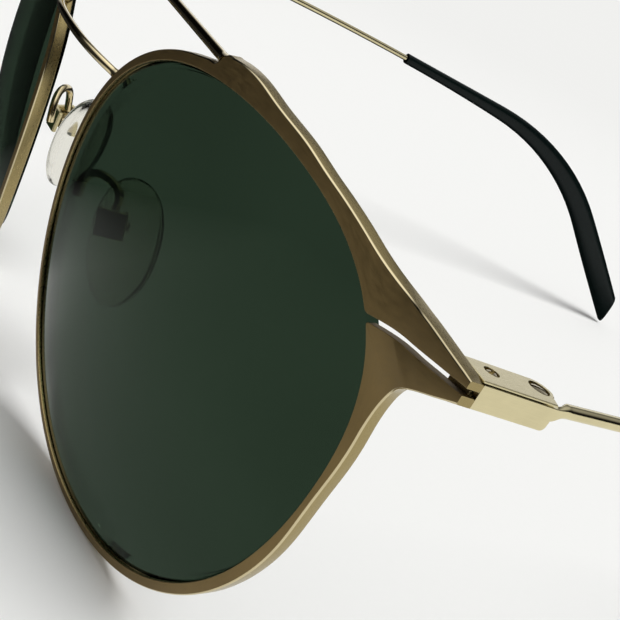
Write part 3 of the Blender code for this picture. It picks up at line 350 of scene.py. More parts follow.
# Where rim and block lie: the rim stands on its lowest point, and the block's front lies
# behind the arm at the knee, 35 degrees up, where the sheet passes to its flat plane
rim_turn = turned("Z", WRAP) @ turned("X", TILT)
block_turn = turned("X", -PITCH)
opening_front = on_sphere(outline, np.zeros(len(outline))) @ rim_turn.T
band_front = on_sphere(outline * (1.0 + BAND / outline_radius[:, None]), np.zeros(len(outline)))
lowest = min(((band_front + np.array([0.0, deep, 0.0])) @ rim_turn.T)[:, 2].min()
             for deep in (SHEET_LOW, 0.18))
rim_place = np.array([BRIDGE_GAP / 2.0 - opening_front[:, 0].min(), 0.0, -lowest])
knee = from_rim(on_sphere(polar(35.0, 2.7), np.float64(0.0)))
block_z = rim_place[2] + LENS_HEIGHT / 2.0 - BLOCK_DROP
block_y = (knee[1] - ARM_AHEAD + (block_z - knee[2]) * math.tan(math.radians(PITCH))
           + (SHEET_TOP + ARM_SEAT) / math.cos(math.radians(PITCH)))
block_place = np.array([opening_front[:, 0].max() + rim_place[0] + ARM_REACH, block_y, block_z])
screw_in = BLOCK_WIDTH - BLOCK_END

# The whole pair is set so that it is centred front to back, which the hinge screw shows
screw_middle = np.mean([np.array(corner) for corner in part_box("hinge_screw_left")], axis=0) / MM
stand = screw_middle - from_block(BLOCK_LENGTH, screw_in, (BLOCK_HEIGHT - BLOCK_SPLIT) / 2.0)
STAND = np.array([0.0, round(float(stand[1]), 3), 0.0])

arm_front = to_rim(from_block(-ARM_SEAT - SHEET_TOP, 0.0, 0.0))
arm_normal = rim_turn.T @ block_turn @ np.array([0.0, 1.0, 0.0])
arm_corner = to_rim(from_block(0.0, 0.0, 0.0))[[0, 2]]
arm_top = arm_corner[1] - ARM_DROP
slit_rise = math.tan(math.radians(SLIT_SLOPE))
slit_top = arm_top - UPPER_END
arm_bottom = slit_top - SLIT - LOWER_END
upper_start = np.array([arm_corner[0], slit_top])
lower_start = np.array([arm_corner[0], slit_top - SLIT])


def thickness(places):
    """Sheet thickness: the lower rim's, passing to the thinner brow's between 4 and 14 mm up."""
    return SHEET_TOP + (SHEET_LOW - SHEET_TOP) * smooth((14.0 - places[..., 1]) / 10.0)


def on_sheet(places, depth):
    """The rim's sheet: the lens sphere and the arms' flat plane, mixed by a smooth step of
    the distance b beyond the opening, then moved inwards by the depth along their normal.
    Beside the slit the sphere is first brought forwards by 0.30 (b - 0.5 (1 - exp(-2b))), so
    that its walls leave the lens in nearly a straight line."""
    u, v = places[..., 0], places[..., 1]
    beyond = np.hypot(u, v) - opening_radius(np.degrees(np.arctan2(v, u)))
    beside = smooth((u - LENS_WIDTH * 0.3) / (LENS_WIDTH * 0.12))
    share = np.expand_dims(smooth((beyond - 0.3) / 5.4) * beside, -1)
    from_slit = np.abs(v - upper_start[1] + (upper_start[0] - u) * slit_rise)
    beyond = np.maximum(beyond, 0.0)
    forwards = (0.30 * (beyond - 0.5 * (1.0 - np.exp(-2.0 * beyond)))
                * beside * (1.0 - smooth((from_slit - 0.5) / 3.0)))
    ball = on_sphere(places, np.zeros(u.shape))
    normal = on_sphere(places, np.ones(u.shape)) - ball
    ball = ball - np.expand_dims(forwards, -1) * np.array([0.0, 1.0, 0.0])
    offset = (places - arm_front[[0, 2]]) @ arm_normal[[0, 2]]
    flat = np.stack([u, arm_front[1] - offset / arm_normal[1], v], -1)
    normal = unit(normal * (1.0 - share) + arm_normal * share)
    return ball * (1.0 - share) + flat * share + normal * np.expand_dims(depth, -1)


def on_wall(places, depth, straight=1.0):
    """A side wall milled straight back along the rim's own Y: its depth is counted along the
    sheet's normal, and where straight is nought the wall stands square to the sheet."""
    front = on_sheet(places, np.zeros(places.shape[:-1]))
    normal = on_sheet(places, np.ones(places.shape[:-1])) - front
    milled = np.array([0.0, 1.0, 0.0]) / normal[..., 1:2]
    share = np.expand_dims(straight, -1)
    return front + (normal * (1.0 - share) + milled * share) * np.expand_dims(depth, -1)


def rim_band(degrees):
    """Width of the rim's face beyond the opening: plain, with a waist beside the slit, flared
    exponentially into the two arms, a little wider over the brow, and with the lug that the
    brow bar meets."""
    turn = (np.asarray(degrees, float) + 180.0) % 360.0 - 180.0
    waist = -0.43 * np.exp(-((turn - 2.0) / 11.0) ** 2)
    lower = 0.8 * np.exp((np.minimum(turn, 22.0) - 22.0) / 3.6) * (turn < 36.0)
    upper = 2.6 * np.exp((36.3 - np.maximum(turn, 36.3)) / 5.3) * (turn >= 36.0)
    brow = 0.208 * smooth((turn - 36.0) / 6.0) * smooth((68.0 - turn) / 18.0)
    brow = brow + 0.30 * np.exp(-((turn - 69.5) / 6.0) ** 2)
    lug = 1.08 * smooth((102.6 - turn) / 3.2) * smooth((turn - 68.0) / 26.0)
    return BAND + waist + lower + upper + brow + lug


# Outer edge of the rim, from the upper arm's end round to the lower arm's
ring_angles = np.array([43.5, 48, 54, 60, 67, 74, 80, 85, 89, 93, 96, 98, 99.5, 100.5, 101.5,
                        102.5, 104, 108, 114, 122, 131, 140, 149, 158, 168, 178, 188, 198, 208,
                        218, 228, 238, 248, 258, 268, 278, 288, 298, 308, 318, 328, 337, 345,
                        352, 358, 364, 370, 375, 379])
ring_outer = polar(ring_angles, rim_band(ring_angles))
waist_end = ring_outer[-1]
knee_top = polar(38.9, BAND + 2.6 * 0.8)
arm_end_top, arm_end_low = (np.array([arm_corner[0], height]) for height in (arm_top, arm_bottom))
fillet = arm_end_low - np.array([4.5, 2.14])
outer_edge = spline(np.vstack([
    arm_end_top + (knee_top - arm_end_top) * np.linspace(0.0, 1.0, 4)[:, None], ring_outer,
    waist_end + (fillet - waist_end) * np.array([[0.28, 0.62], [0.60, 0.84]]), fillet,
    fillet * 0.58 + arm_end_low * 0.42, arm_end_low]), 24)
outer_angle = np.maximum.accumulate(
    np.degrees(np.unwrap(np.arctan2(outer_edge[:, 1], outer_edge[:, 0]))))
outer_run = run_lengths(outer_edge)


def run_at(degrees):
    """Distance along the outer edge at a direction from the opening's middle."""
    return np.interp(degrees, outer_angle, outer_run)


def slit_corner(start):
    """Where a wall of the slit, followed from its arm's end, meets the lens opening."""
    reach = np.linspace(0.0, LENS_WIDTH * 0.5, 8000)[:, None]
    line = start - reach * np.array([1.0, slit_rise])
    degrees = np.degrees(np.arctan2(line[:, 1], line[:, 0]))
    index = int(np.argmax(np.hypot(line[:, 0], line[:, 1]) < opening_radius(degrees)))
    return line[index], float(degrees[index])


upper, upper_angle = slit_corner(upper_start)
lower, lower_angle = slit_corner(lower_start)
round_angle = math.degrees(CORNER / float(opening_radius(upper_angle)))
first, last = upper_angle + round_angle, 360.0 + lower_angle - round_angle


def held_share(degrees, margin):
    """How much of the lens groove is there: none near the slit, all of it 3.5 degrees on."""
    turn = (np.asarray(degrees, float) - first) % 360.0 + first
    return smooth((np.minimum(turn - first, last - turn) - margin) / 3.5)


WALL_STEPS, CORNER_STEPS, RING_STEPS = 48, 6, 380


def rim_stations():
    """Inner and outer point of every section of the rim, and the shares of its groove and of
    its straight milling there.

    The inner point follows the slit's upper wall, an eased corner, the lens opening, the
    other corner and the slit's lower wall; the outer one runs beside it on the outer edge.
    The milling turns square to the sheet over the last stretch of each arm."""
    t = np.linspace(0.0, 1.0, WALL_STEPS)
    part = np.arange(1, CORNER_STEPS + 1) / (CORNER_STEPS + 1.0)
    top_turn, low_turn = (
        corner + unit(start - corner) * CORNER
        for start, corner in ((upper_start, upper), (lower_start, lower)))
    ring = np.unique(np.concatenate([
        first + (last - first) * np.linspace(0.0, 1.0, RING_STEPS), np.linspace(97.0, 104.0, 40)]))
    inner = np.vstack([
        upper_start + (top_turn - upper_start) * t[:, None],
        eased_corner(top_turn, upper, polar(first), part[:, None]), polar(ring),
        eased_corner(polar(last), lower, low_turn, part[:, None]),
        low_turn + (lower_start - low_turn) * t[:, None]])
    ring_run = run_at(np.interp(ring, [first, 60.0, 377.0, last], [44.0, 60.0, 377.0, 383.6]))
    top_run, low_run, end_run = run_at(39.6), ring_run[-1], outer_run[-1]
    runs = np.concatenate([
        top_run * t, top_run + (run_at(44.0) - top_run) * part, ring_run,
        low_run + (end_run - low_run) * 0.12 * part,
        low_run + (end_run - low_run) * (0.12 + 0.88 * t)])
    outer = np.stack([np.interp(runs, outer_run, outer_edge[:, k]) for k in (0, 1)], axis=-1)
    none = np.zeros(WALL_STEPS + CORNER_STEPS)
    straight = smooth(runs / END_SQUARE) * smooth((end_run - runs) / END_SQUARE)
    return inner, outer, np.concatenate([none, held_share(ring, 0.0), none]), straight


def rim_grid(edge_break):
    """The rim as a section of eleven eased corners carried from one arm's end to the other's."""
    inner, outer, groove, straight = rim_stations()
    across, radial = unit(outer - inner), unit(inner)
    deep_in, deep_out, zero = thickness(inner), thickness(outer), np.zeros(len(inner))
    walls = ((outer - across * edge_break, zero), (outer, zero + edge_break),
             (outer, deep_out - 0.1), (outer - across * 0.1, deep_out))
    loops = ((inner + across * 0.1, deep_in), (inner, deep_in - 0.1),
             (inner, zero + GROOVE_SET + GROOVE_HALF),
             (inner + radial * (GROOVE_DEPTH * groove)[:, None], zero + GROOVE_SET),
             (inner, zero + GROOVE_SET - GROOVE_HALF), (inner, zero + 0.04))
    corners = np.stack([on_sheet(inner + across * 0.04, zero),
                        *(on_wall(place, depth, straight) for place, depth in walls),
                        *(on_sheet(place, depth) for place, depth in loops)])
    radii = (0.03, 0.04, 0.04, 0.03, 0.03, 0.03, 0.03, 0.01, 0.01, 0.01, 0.03)
    grid = rounded(corners, radii).transpose(1, 0, 2)
    uv = grain_uv((inner + outer) / 2.0, run_lengths(grid.mean(axis=0)))
    # Looks of the faces: 0 the sheet's face, 1 its cut edges, 2 the bevel, by columns, of which
    # each corner has three in a row. The slit is sawn before the sheet is coated, so its walls
    # at each end of the grid look like the face.
    face_slot = np.ones((len(grid) - 1, grid.shape[1]), np.int32)
    # Columns 0, 1 and 30 to 32, the small break between the face and the opening's inner wall, take
    # the face's darker look in place of the edge's: painted shade, as that break lies in shade
    face_slot[:, [0, 1, 2, 14, 30, 31, 32]] = 0
    face_slot[:, 3:8] = 2
    sawn_rows = WALL_STEPS + 2
    face_slot[:sawn_rows, 15:30] = face_slot[-sawn_rows:, 15:30] = 0
    grid = metres(from_rim(grid))
    grid[..., 2] = np.maximum(grid[..., 2], 0.0)  # the last 7 microns would be in the floor
    return grid, uv, face_slot


def lens_grid():
    """The lens: rings at a share of the opening's outline on the front sphere, over a bevelled
    ridge that sits in the rim's groove, and back on the inner sphere to its middle."""
    degrees = np.linspace(0.0, 360.0, 288, endpoint=False)
    edge, back = polar(degrees, -0.12), LENS_RECESS + LENS_THICK
    beyond, held = unit(edge), held_share(degrees, 6.0)[:, None]
    shares = np.maximum(np.sin(np.linspace(0.0, 0.5, 15) * math.pi) * 0.9985, 1e-7)
    # Each ring's share of the outline, how far its ridge stands out, and its depth
    rows = [(share, 0.0, LENS_RECESS) for share in shares]
    rows += [(1.0, 0.0, LENS_RECESS + 0.05), (1.0, 0.0, 0.50), (1.0, 0.30, 0.60),
             (1.0, 0.30, 0.68), (1.0, 0.0, 0.82), (1.0, 0.0, back - 0.05)]
    rows += [(share, 0.0, back) for share in shares[::-1]]
    rings = [on_sphere(edge * share + out * held * beyond, np.full(len(edge), depth))
             for share, out, depth in rows]
    return metres(from_rim(np.stack(rings)))


def wire_grid(path, radius, sides):
    """Round wire: at each point of the path a circle, radius (stations), square to it. The
    circles start from the way in which the path is flattest, which no bend of it turns to."""
    along = unit(np.gradient(path, axis=0))
    flat = np.linalg.svd(path - path.mean(axis=0), full_matrices=False)[2][2]
    side = unit(np.cross(along, flat))
    other = np.cross(along, side)
    angle = np.linspace(0.0, 2.0 * math.pi, sides, endpoint=False)[None, :, None]
    ring = np.cos(angle) * side[:, None] + np.sin(angle) * other[:, None]
    return path[:, None] + np.broadcast_to(radius, len(path))[:, None, None] * ring, along


def cut_to_plane(grid, along, point, normal):
    """A wire cut off by a plane near its last station: the rings that reach past it go, but
    for the last, which is slid along the wire until it lies on the plane."""
    away = (grid - point) @ normal
    sign = np.sign((grid.mean(axis=(0, 1)) - point) @ normal)
    clear = (away * sign).min(axis=1) > 0.02
    slid = grid[-1] - (away[-1] / (along[-1] @ normal))[:, None] * along[-1]
    return np.concatenate([grid[:-1][clear[:-1]], slid[None]]), np.append(clear[:-1], True)


def cut_wire(name, path, radius, sides, ends, node, side=1.0):
    """Polished wire between two planes, given as (point, normal) for its start and its end."""
    grid, along = wire_grid(path, radius, sides)
    round_it = 2.0 * math.pi * float(np.median(radius))
    uv = grain_uv(path, np.linspace(0.0, round_it, sides, endpoint=False))
    for point, normal in ends:
        grid, along, uv = grid[::-1], along[::-1], [part[::-1] for part in uv]
        grid, kept = cut_to_plane(grid, along, point, normal)
        along, uv = along[kept], [part[kept] for part in uv]
    return made_piece(name, metres(grid), ["wire"], "front", node, side,
                      uv=uv, sharp=60.0)


def joined_wire(name, shape, wall, lean, size, node):
    """Wire soldered between the rims: a path that the shape gives between two walls, whose
    place and direction on the left are given, and a radius that swells by 30% within 0.4 mm
    of each end."""
    normal = rim_turn @ np.array([lean[0], 0.0, lean[1]])
    end = wall + normal * SOLDER_GAP
    share, bow = shape
    path = end * np.stack([share, np.ones_like(share), np.ones_like(share)], -1) + bow
    run = run_lengths(path)
    near = np.minimum(run, run[-1] - run)
    radius = size / 2.0 * (1.0 + 0.30 * np.exp(-((near / 0.42) ** 2)))
    flip = np.array([-1.0, 1.0, 1.0])
    return cut_wire(name, path, radius, 28, ((end * flip, normal * flip), (end, normal)), node)


def wall_middle(place):
    """Point halfway through the sheet on the rim's milled side wall."""
    return from_rim(on_wall(place, thickness(place) / 2.0))


def section(width, height, corner, steps=6):
    """Rounded rectangles for arrays of width, height and corner radius: four quarter circles
    of the corner radius round the points (+-(w/2 - r), +-(h/2 - r))."""
    width, height, corner = (np.asarray(v, float)[:, None] for v in (width, height, corner))
    corner = np.minimum(corner, np.minimum(width, height) * 0.499)
    quarter = np.linspace(0.0, math.pi / 2.0, steps)
    angle = np.concatenate([quarter + k * math.pi / 2.0 for k in range(4)])[None]
    sign_x = np.repeat([1.0, -1.0, -1.0, 1.0], steps)[None]
    sign_z = np.repeat([1.0, 1.0, -1.0, -1.0], steps)[None]
    return (sign_x * (width / 2.0 - corner) + corner * np.cos(angle),
            sign_z * (height / 2.0 - corner) + corner * np.sin(angle))


def temple_line():
    """Middle line of the temple: its drop and inward turn change with the distance s, straight
    at first and then on the bend's radius, and the line is their running sum. The tip's end
    is straight and stops where the tip's slanted end stands on the floor."""
    bend = math.radians(BEND_DROP - RUN_DROP) * BEND_RADIUS
    stations = np.concatenate([np.linspace(0.0, TEMPLE_RUN, 22),
                               np.linspace(0.0, bend, 13)[1:] + TEMPLE_RUN])
    down = np.radians(np.where(
        stations <= TEMPLE_RUN, START_DROP + (RUN_DROP - START_DROP) * stations / TEMPLE_RUN,
        RUN_DROP + np.degrees((stations - TEMPLE_RUN) / BEND_RADIUS)))
    inward = np.radians(START_IN + (END_IN - START_IN) * stations / (stations[-1] / 0.82))
    along = np.stack([-np.sin(inward) * np.cos(down), np.cos(inward) * np.cos(down),
                      -np.sin(down)], -1)
    steps = (along[1:] + along[:-1]) / 2.0 * np.diff(stations)[:, None]
    points = from_block(PLATE_END, 0.5, BAR_RISE) + np.vstack(
        [np.zeros(3), np.cumsum(steps, axis=0)])
    low = SLEEVE_END_HEIGHT / 2.0 * math.cos(math.radians(BEND_DROP))
    rest = (points[-1, 2] - low) / math.sin(math.radians(BEND_DROP)) - SLEEVE_SLANT
    extra = np.linspace(0.0, rest, 9)[1:, None]
    points = np.vstack([points, points[-1] + extra * along[-1]])
    along = np.vstack([along, np.repeat(along[-1:], 8, axis=0)])
    stations = np.concatenate([stations, stations[-1] + extra[:, 0]])
    points[:, 2] -= BAR_SET * (1.0 - smooth(stations / SLEEVE_START))
    return stations, points, along


temple_stations, temple_points, temple_ways = temple_line()


def temple_frame(places):
    """Points, directions, side and up vectors of the temple at distances along it."""
    point, way = (np.stack([np.interp(places, temple_stations, values[:, k]) for k in range(3)], -1)
                  for values in (temple_points, temple_ways))
    way = unit(way)
    side = unit(np.cross(way, (0.0, 0.0, 1.0)))
    return point, way, side, np.cross(side, way)


def temple_grid(bar):
    """Plate, neck and bar in one skin: rounded rectangles square to the block over the plate
    and neck, and square to the temple's line over the bar. The plate's lower rear corner is a
    quarter circle, and the neck's underside rises to the bar by a smooth step."""
    turn = np.radians(np.linspace(0.0, 88.0, 10))
    under, top = BAR_RISE + BAR_SET + bar / 2.0, BAR_RISE + BAR_SET - bar / 2.0
    back = np.concatenate([[PLATE_START, PLATE_START + 0.05],
                           np.linspace(0.5, PLATE_END - 0.45, 14),
                           PLATE_END - PLATE_CORNER * (1.0 - np.sin(turn))])
    low = np.concatenate([[PLATE_BOTTOM] * 16, PLATE_BOTTOM - PLATE_CORNER * (1.0 - np.cos(turn))])
    plate = np.ones(len(back))
    neck = np.linspace(0.0, 1.0, 16)
    neck_start, neck_end = PLATE_END + 0.02, NECK_START + NECK_LENGTH * 0.8
    neck_back = neck_start + (neck_end - neck_start) * neck
    rise = (neck_back - PLATE_END) * math.tan(math.radians(PITCH - START_DROP))
    root = under + (PLATE_BOTTOM - PLATE_CORNER - under) * 0.40
    lifted = smooth((neck - 0.02) / 0.8)
    neck_high = PLATE_TOP + (top - PLATE_TOP) * lifted - rise * lifted
    neck_low = root + (under - root) * smooth(neck / 0.65) - rise
    neck_thick = PLATE_THICK + (bar - PLATE_THICK) * smooth((neck - 0.3) / 0.65)
    drift = (neck_back - PLATE_END) * math.tan(math.radians(START_IN))
    corner = np.concatenate([[0.02], np.full(len(back) - 1, 0.06), 0.06 + 0.34 * smooth(neck)])
    back, low, high, thick, outboard = (np.concatenate(pair) for pair in (
        (back, neck_back), (low, neck_low), (PLATE_TOP * plate, neck_high),
        (PLATE_THICK * plate, neck_thick), (0.0 * plate, drift)))
    x, z = section(thick, low - high, corner)
    local = np.stack([x - (outboard + thick / 2.0)[:, None],
                      np.repeat(back[:, None], x.shape[1], axis=1),
                      z - ((low + high) / 2.0)[:, None]], -1)
    point, _, side, up = temple_frame(np.linspace(
        NECK_START + NECK_LENGTH - PLATE_END, SLEEVE_START + CORE_LENGTH, 130))
    size = np.full(len(point), bar)
    x, z = section(size, size, size * 0.40)
    wire = point[:, None] + x[..., None] * side[:, None] + z[..., None] * up[:, None]
    grid = np.concatenate([block_place + local @ block_turn.T, wire])
    return metres(grid), grain_uv(grid.mean(axis=1), run_lengths(wire[0]))


def tip_ring(place, width, height, slant=0.0, count=36):
    """Superellipse sections |x/a|^2.86 + |z/b|^2.86 = 1, leaned by a slant along the temple."""
    point, way, side, up = temple_frame(place)
    angle = np.linspace(0.0, 2.0 * math.pi, count, endpoint=False)[None]
    x, z = (np.sign(wave) * np.abs(wave) ** 0.7 * np.broadcast_to(size, len(point))[:, None] / 2.0
            for wave, size in ((np.cos(angle), width), (np.sin(angle), height)))
    lean = -z / 2.5 * slant
    return (point[:, None] + x[..., None] * side[:, None] + z[..., None] * up[:, None]
            + lean[..., None] * way[:, None])


def tip_grid(end_height):
    """Tip sleeve: a bore for the bar, a mouth with an eased lip, then a section that deepens by
    a smooth step towards its slanted end, which is rounded over 1.2 mm."""
    total = temple_stations[-1]
    run = np.concatenate([SLEEVE_START + np.array([0.0, 0.06, 0.2]),
                          np.linspace(SLEEVE_START + 0.8, total - 2.6, 110)])
    share = smooth((run - SLEEVE_START) / (total - SLEEVE_START) * 1.15)
    lip = np.concatenate([[0.16, 0.05, 0.0], np.zeros(110)])
    turn = np.radians(np.array([0.0, 14.0, 28.0, 42.0, 54.0, 66.0, 76.0, 85.0]))
    shrink = TIP_ROUND * (1.0 - np.cos(turn))
    grid = np.concatenate([
        tip_ring(np.linspace(SLEEVE_START + 7.0, SLEEVE_START + 0.1, 8), 1.22, 1.22),
        tip_ring(run, MOUTH_WIDTH + (TIP_WIDTH - MOUTH_WIDTH) * share - lip,
                 MOUTH_HEIGHT + (end_height - MOUTH_HEIGHT) * share - lip),
        tip_ring(total - TIP_ROUND * (1.0 - np.sin(turn)), TIP_WIDTH - 1.4 * shrink,
                 end_height - 0.9 * shrink, 1.9)])
    return metres(grid), grain_uv(grid.mean(axis=1), np.linspace(0.0, 9.0, grid.shape[1]))


pad_turn = turned("Z", -PAD_SPLAY) @ turned("X", PAD_TIP) @ turned("Y", -PAD_LEAN)
pad_out = PAD_THICK / 2.0 + 2.0 * PAD_GAP + PAD_BOX_DEPTH / 2.0
pad_pivot = np.array(PAD_PLACE) + pad_turn @ np.array([pad_out, -PAD_BOX_FORWARD, PAD_BOX_UP])


def pad_grid():
    """Nose pad: a drop-shaped outline, straighter behind and fuller above, shrunk towards both
    faces by a cosine power while it rises to them by a sine, so both faces are crowned."""
    angle = np.linspace(0.0, 2.0 * math.pi, 96, endpoint=False)[None]
    tall = np.sign(np.sin(angle)) * np.abs(np.sin(angle)) ** 0.9 * PAD_LENGTH / 2.0
    across = np.cos(angle) * PAD_WIDTH / 2.0 * (1.0 + 0.07 * np.sin(angle))
    across = np.where(across < 0.0, across * 0.82, across) + PAD_WIDTH * 0.045
    tilt = np.radians(np.linspace(90.0, -90.0, 27))[:, None]
    share = np.abs(np.cos(tilt)) ** 0.55
    share = np.where(share < 1e-5, 1e-7, share)
    out = np.sign(np.sin(tilt)) * np.abs(np.sin(tilt)) ** 1.15 * 0.5 * PAD_THICK
    points = np.stack([np.broadcast_to(out, (len(tilt), angle.shape[1])), across * share,
                       tall * share], -1)
    return metres(np.array(PAD_PLACE) + points @ pad_turn.T)


def pad_arm_path(steps):
    """Nose pad arm: from its foot on the back of the rim it rises, turns over in a hairpin and
    comes down on the box. Also gives the planes that end it."""
    root = polar(PAD_ARM_ANGLE, BAND * 0.5)
    inward = np.array([0.0, BASE_RADIUS, 0.0]) - on_sphere(root, np.float64(0.0))
    normal = unit(rim_turn @ inward)
    upright = pad_turn @ np.array([0.0, 0.0, 1.0])
    start = from_rim(on_sphere(root, thickness(root) + SOLDER_GAP))
    seat = pad_pivot + upright * (PAD_BOX_HEIGHT / 2.0 + SOLDER_GAP)
    rise, reach = PAD_ARM_RISE, seat[0] - start[0]
    knots = [start, start + np.array([0.0, 0.16, 0.14]) * rise,
             start + np.array([0.0, 0.18, 0.60]) * rise,
             start + np.array([reach * 0.35, rise * 0.22, rise]),
             start + np.array([reach * 0.78, rise * 0.38, rise * 1.06]),
             seat + np.array([reach * 0.12, -rise * 0.06, rise * 0.30]), seat]
    return spline(knots, steps), ((start, normal), (seat, upright))


def screw_cap(head):
    """Slotted screw head: for x across the slot and t along it, y = t sqrt(R^2 - x^2) and the
    height is a shallow dome less the slot."""
    half, flank = DRIVE_WIDTH / 2.0, np.cos(np.linspace(0.0, 1.1, 9))
    x = np.concatenate([-head * flank, [-half - 0.004, -half + 0.004],
                        np.linspace(-half * 0.5, half * 0.5, 3), [half - 0.004, half + 0.004],
                        head * flank[::-1]])
    x, t = np.meshgrid(x, np.linspace(-1.0, 1.0, 25), indexing="ij")
    y = t * np.sqrt(np.maximum(head**2 - x**2, 0.0))
    height = HEAD_CROWN * (1.0 - (x**2 + y**2) / head**2) - DRIVE_DEPTH * (np.abs(x) < half)
    return np.stack([x, y, height - HEAD_SINK], -1)


def screw_mesh(name, back, head, turn, side):
    """Screw head as a cap grid with a skirt and a shank below it, turned about its own axis
    and set on the block."""
    cap = screw_cap(head - HEAD_GAP)
    rows, count = cap.shape[:2]
    ring = np.vstack([cap[:, 0], cap[::-1, -1]])
    skirt = ring * np.array([1.0, 1.0, 0.0]) - np.array([0.0, 0.0, HEAD_THICK])
    floor = skirt * np.array([0.3, 0.3, 1.0])
    shank = floor - np.array([0.0, 0.0, SHANK])
    points = np.vstack([cap.reshape(-1, 3), ring, skirt, floor, shank]) @ turned("Z", turn).T
    i, j = np.meshgrid(np.arange(rows - 1), np.arange(count - 1), indexing="ij")
    quads = [i * count + j, (i + 1) * count + j, (i + 1) * count + j + 1, i * count + j + 1]
    faces = np.stack(quads, -1).reshape(-1, 4).tolist()
    size = len(ring)
    k = np.arange(size)
    for level in range(3):
        a, b = rows * count + level * size, rows * count + (level + 1) * size
        faces += np.stack([a + k, b + k, b + (k + 1) % size, a + (k + 1) % size], -1).tolist()
    faces.append((rows * count + 3 * size + k).tolist())
    points = metres(from_block(back, screw_in, 0.0) + points @ block_turn.T)
    return merged(mesh_of(name, points, faces, ["screw"], side), 5e-7)


def sawn(data, side):
    """A closing block's mesh with the rim's slit sawn on into its front, by a sloping box cut
    out of it. The cut's own faces take a nearly black steel look, painted shade for the dark
    inside the cut."""
    corners = [from_block(back, inboard, down + inboard * slit_rise)
               for back in (-0.3, SAW_DEPTH) for inboard in (-0.3, BLOCK_WIDTH + 0.3)
               for down in (UPPER_END, UPPER_END + SLIT)]
    # The cut's faces take the sawn look, which is painted shade
    tool = mesh_of("saw cut", metres(corners), [], ["sawn"], side)
    with reworked(tool) as work:
        bmesh.ops.convex_hull(work, input=work.verts)
        bmesh.ops.recalc_face_normals(work, faces=work.faces)
    pair = [linked("saw work", mesh) for mesh in (data, tool)]
    cut = pair[0].modifiers.new("saw cut", "BOOLEAN")
    cut.object, cut.operation = pair[1], "DIFFERENCE"
    cut.solver, cut.material_mode = "EXACT", "TRANSFER"
    bpy.context.view_layer.update()
    found = pair[0].evaluated_get(bpy.context.evaluated_depsgraph_get())
    done = bpy.data.meshes.new_from_object(found)
    for item in pair:
        bpy.data.objects.remove(item)
    return done


def eased_copy(node, name, saw=0.0):
    """A machined solid's own shape with its corners broken: its loose triangles are merged and
    joined into flat faces in a copy, and a bevel rounds every sharp edge."""
    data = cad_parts[node].data.copy()
    with reworked(data) as work:
        bmesh.ops.remove_doubles(work, verts=work.verts, dist=1e-6)
        bmesh.ops.dissolve_limit(work, angle_limit=math.radians(1.0), verts=work.verts,
                                 edges=work.edges)
    data.materials.clear()
    data.materials.append(look_of("block"))
    data = sawn(data, saw) if saw else data
    data.name = name
    bevel = placed(name, data, "front", node, 30.0).modifiers.new("broken corners", "BEVEL")
    bevel.width, bevel.segments = BROKEN_CORNER * MM, 2
    bevel.limit_method, bevel.angle_limit = "ANGLE", math.radians(40.0)
    bevel.use_clamp_overlap = True


def finish_nodes(*nodes):
    """Turned steel on solids whose own shape is shown."""
    for node in nodes:
        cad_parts[node].data.materials.clear()
        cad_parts[node].data.materials.append(look_of("screw"))


def add(tree, kind, settings=None, **links):
    """Adds one shader node, sets its properties, or its sockets by name or number, and links
    its sockets to others. A node given as a source stands for its first output."""
    made = tree.nodes.new("ShaderNode" + kind)
    for name, value in (settings or {}).items():
        if isinstance(name, int) or name in made.inputs:
            made.inputs[name].default_value = value
        else:
            setattr(made, name, value)
    for name, source in links.items():
        key = int(name[1:]) if name[0] == "i" and name[1:].isdigit() else name.replace("_", " ")
        tree.links.new(getattr(source, "outputs", (source,))[0], made.inputs[key])
    return made


def carried(start, end, low=0.0, high=1.0):
    """Settings that carry the values from start to end onto those from low to high."""
    return {"From Min": start, "From Max": end, "To Min": low, "To Max": high}


def grain(tree, scale, detail, socket):
    """Noise stretched by the scale along each axis, on UV or Object places in metres: lines or
    specks 0.05 mm across, for one, have a scale of 1 / 0.05 mm = 20000."""
    scale = (scale, scale, scale) if isinstance(scale, float) else scale
    spread = add(tree, "Mapping", {"Scale": scale}, Vector=add(tree, "TexCoord").outputs[socket])
    return add(tree, "TexNoise", {"Scale": 1.0, "Detail": detail, "Roughness": 0.6}, Vector=spread)


def shade(color, amount):
    """A colour darker or lighter by an amount."""
    return tuple(min(1.0, channel * amount) for channel in color)


SPREAD = (0.3, 0.7)  # nearly all of a noise's values lie between these
METAL = {"Metallic": 1.0}


def new_look(name, color, tones, fine, sockets, rough=None, relief=None, skin=None, cloud=None,
             share=1.0, span=SPREAD):
    """Principled material whose tone, roughness and relief follow noises.

    Each noise is given as (scale, detail, places). The tone lies between two shades of the
    colour over a span of the fine noise, or of a mix of it with the broader cloud in which it
    has the given share. The roughness lies between two values, and the relief is given by its
    strength and its depth in metres; both follow the skin, or else the fine noise. Sockets
    that are the same all over are set on the shader."""
    look = bpy.data.materials.new(name)
    look.use_nodes = True
    tree = look.node_tree
    shader = tree.nodes["Principled BSDF"]
    fine = grain(tree, *fine)
    skin = grain(tree, *skin) if skin else fine
    mixed = add(tree, "MapRange", carried(*span, 0.0, share), Value=fine)
    if cloud:
        broad = add(tree, "MapRange", carried(*SPREAD, 0.0, 1.0 - share), Value=grain(tree, *cloud))
        mixed = add(tree, "Math", {"operation": "ADD"}, i0=mixed, i1=broad)
    dark, light = ((*shade(color, tone), 1.0) for tone in tones)
    tone = add(tree, "Mix", {"data_type": "RGBA", 6: dark, 7: light}, i0=mixed)
    tree.links.new(tone.outputs[2], shader.inputs["Base Color"])
    if rough:
        gloss = add(tree, "MapRange", carried(*SPREAD, *rough), Value=skin)
        tree.links.new(gloss.outputs[0], shader.inputs["Roughness"])
    if relief:
        bump = add(tree, "Bump", {"Strength": relief[0], "Distance": relief[1]}, Height=skin)
        tree.links.new(bump.outputs[0], shader.inputs["Normal"])
    for socket, value in sockets.items():
        shader.inputs[socket].default_value = value
    return look


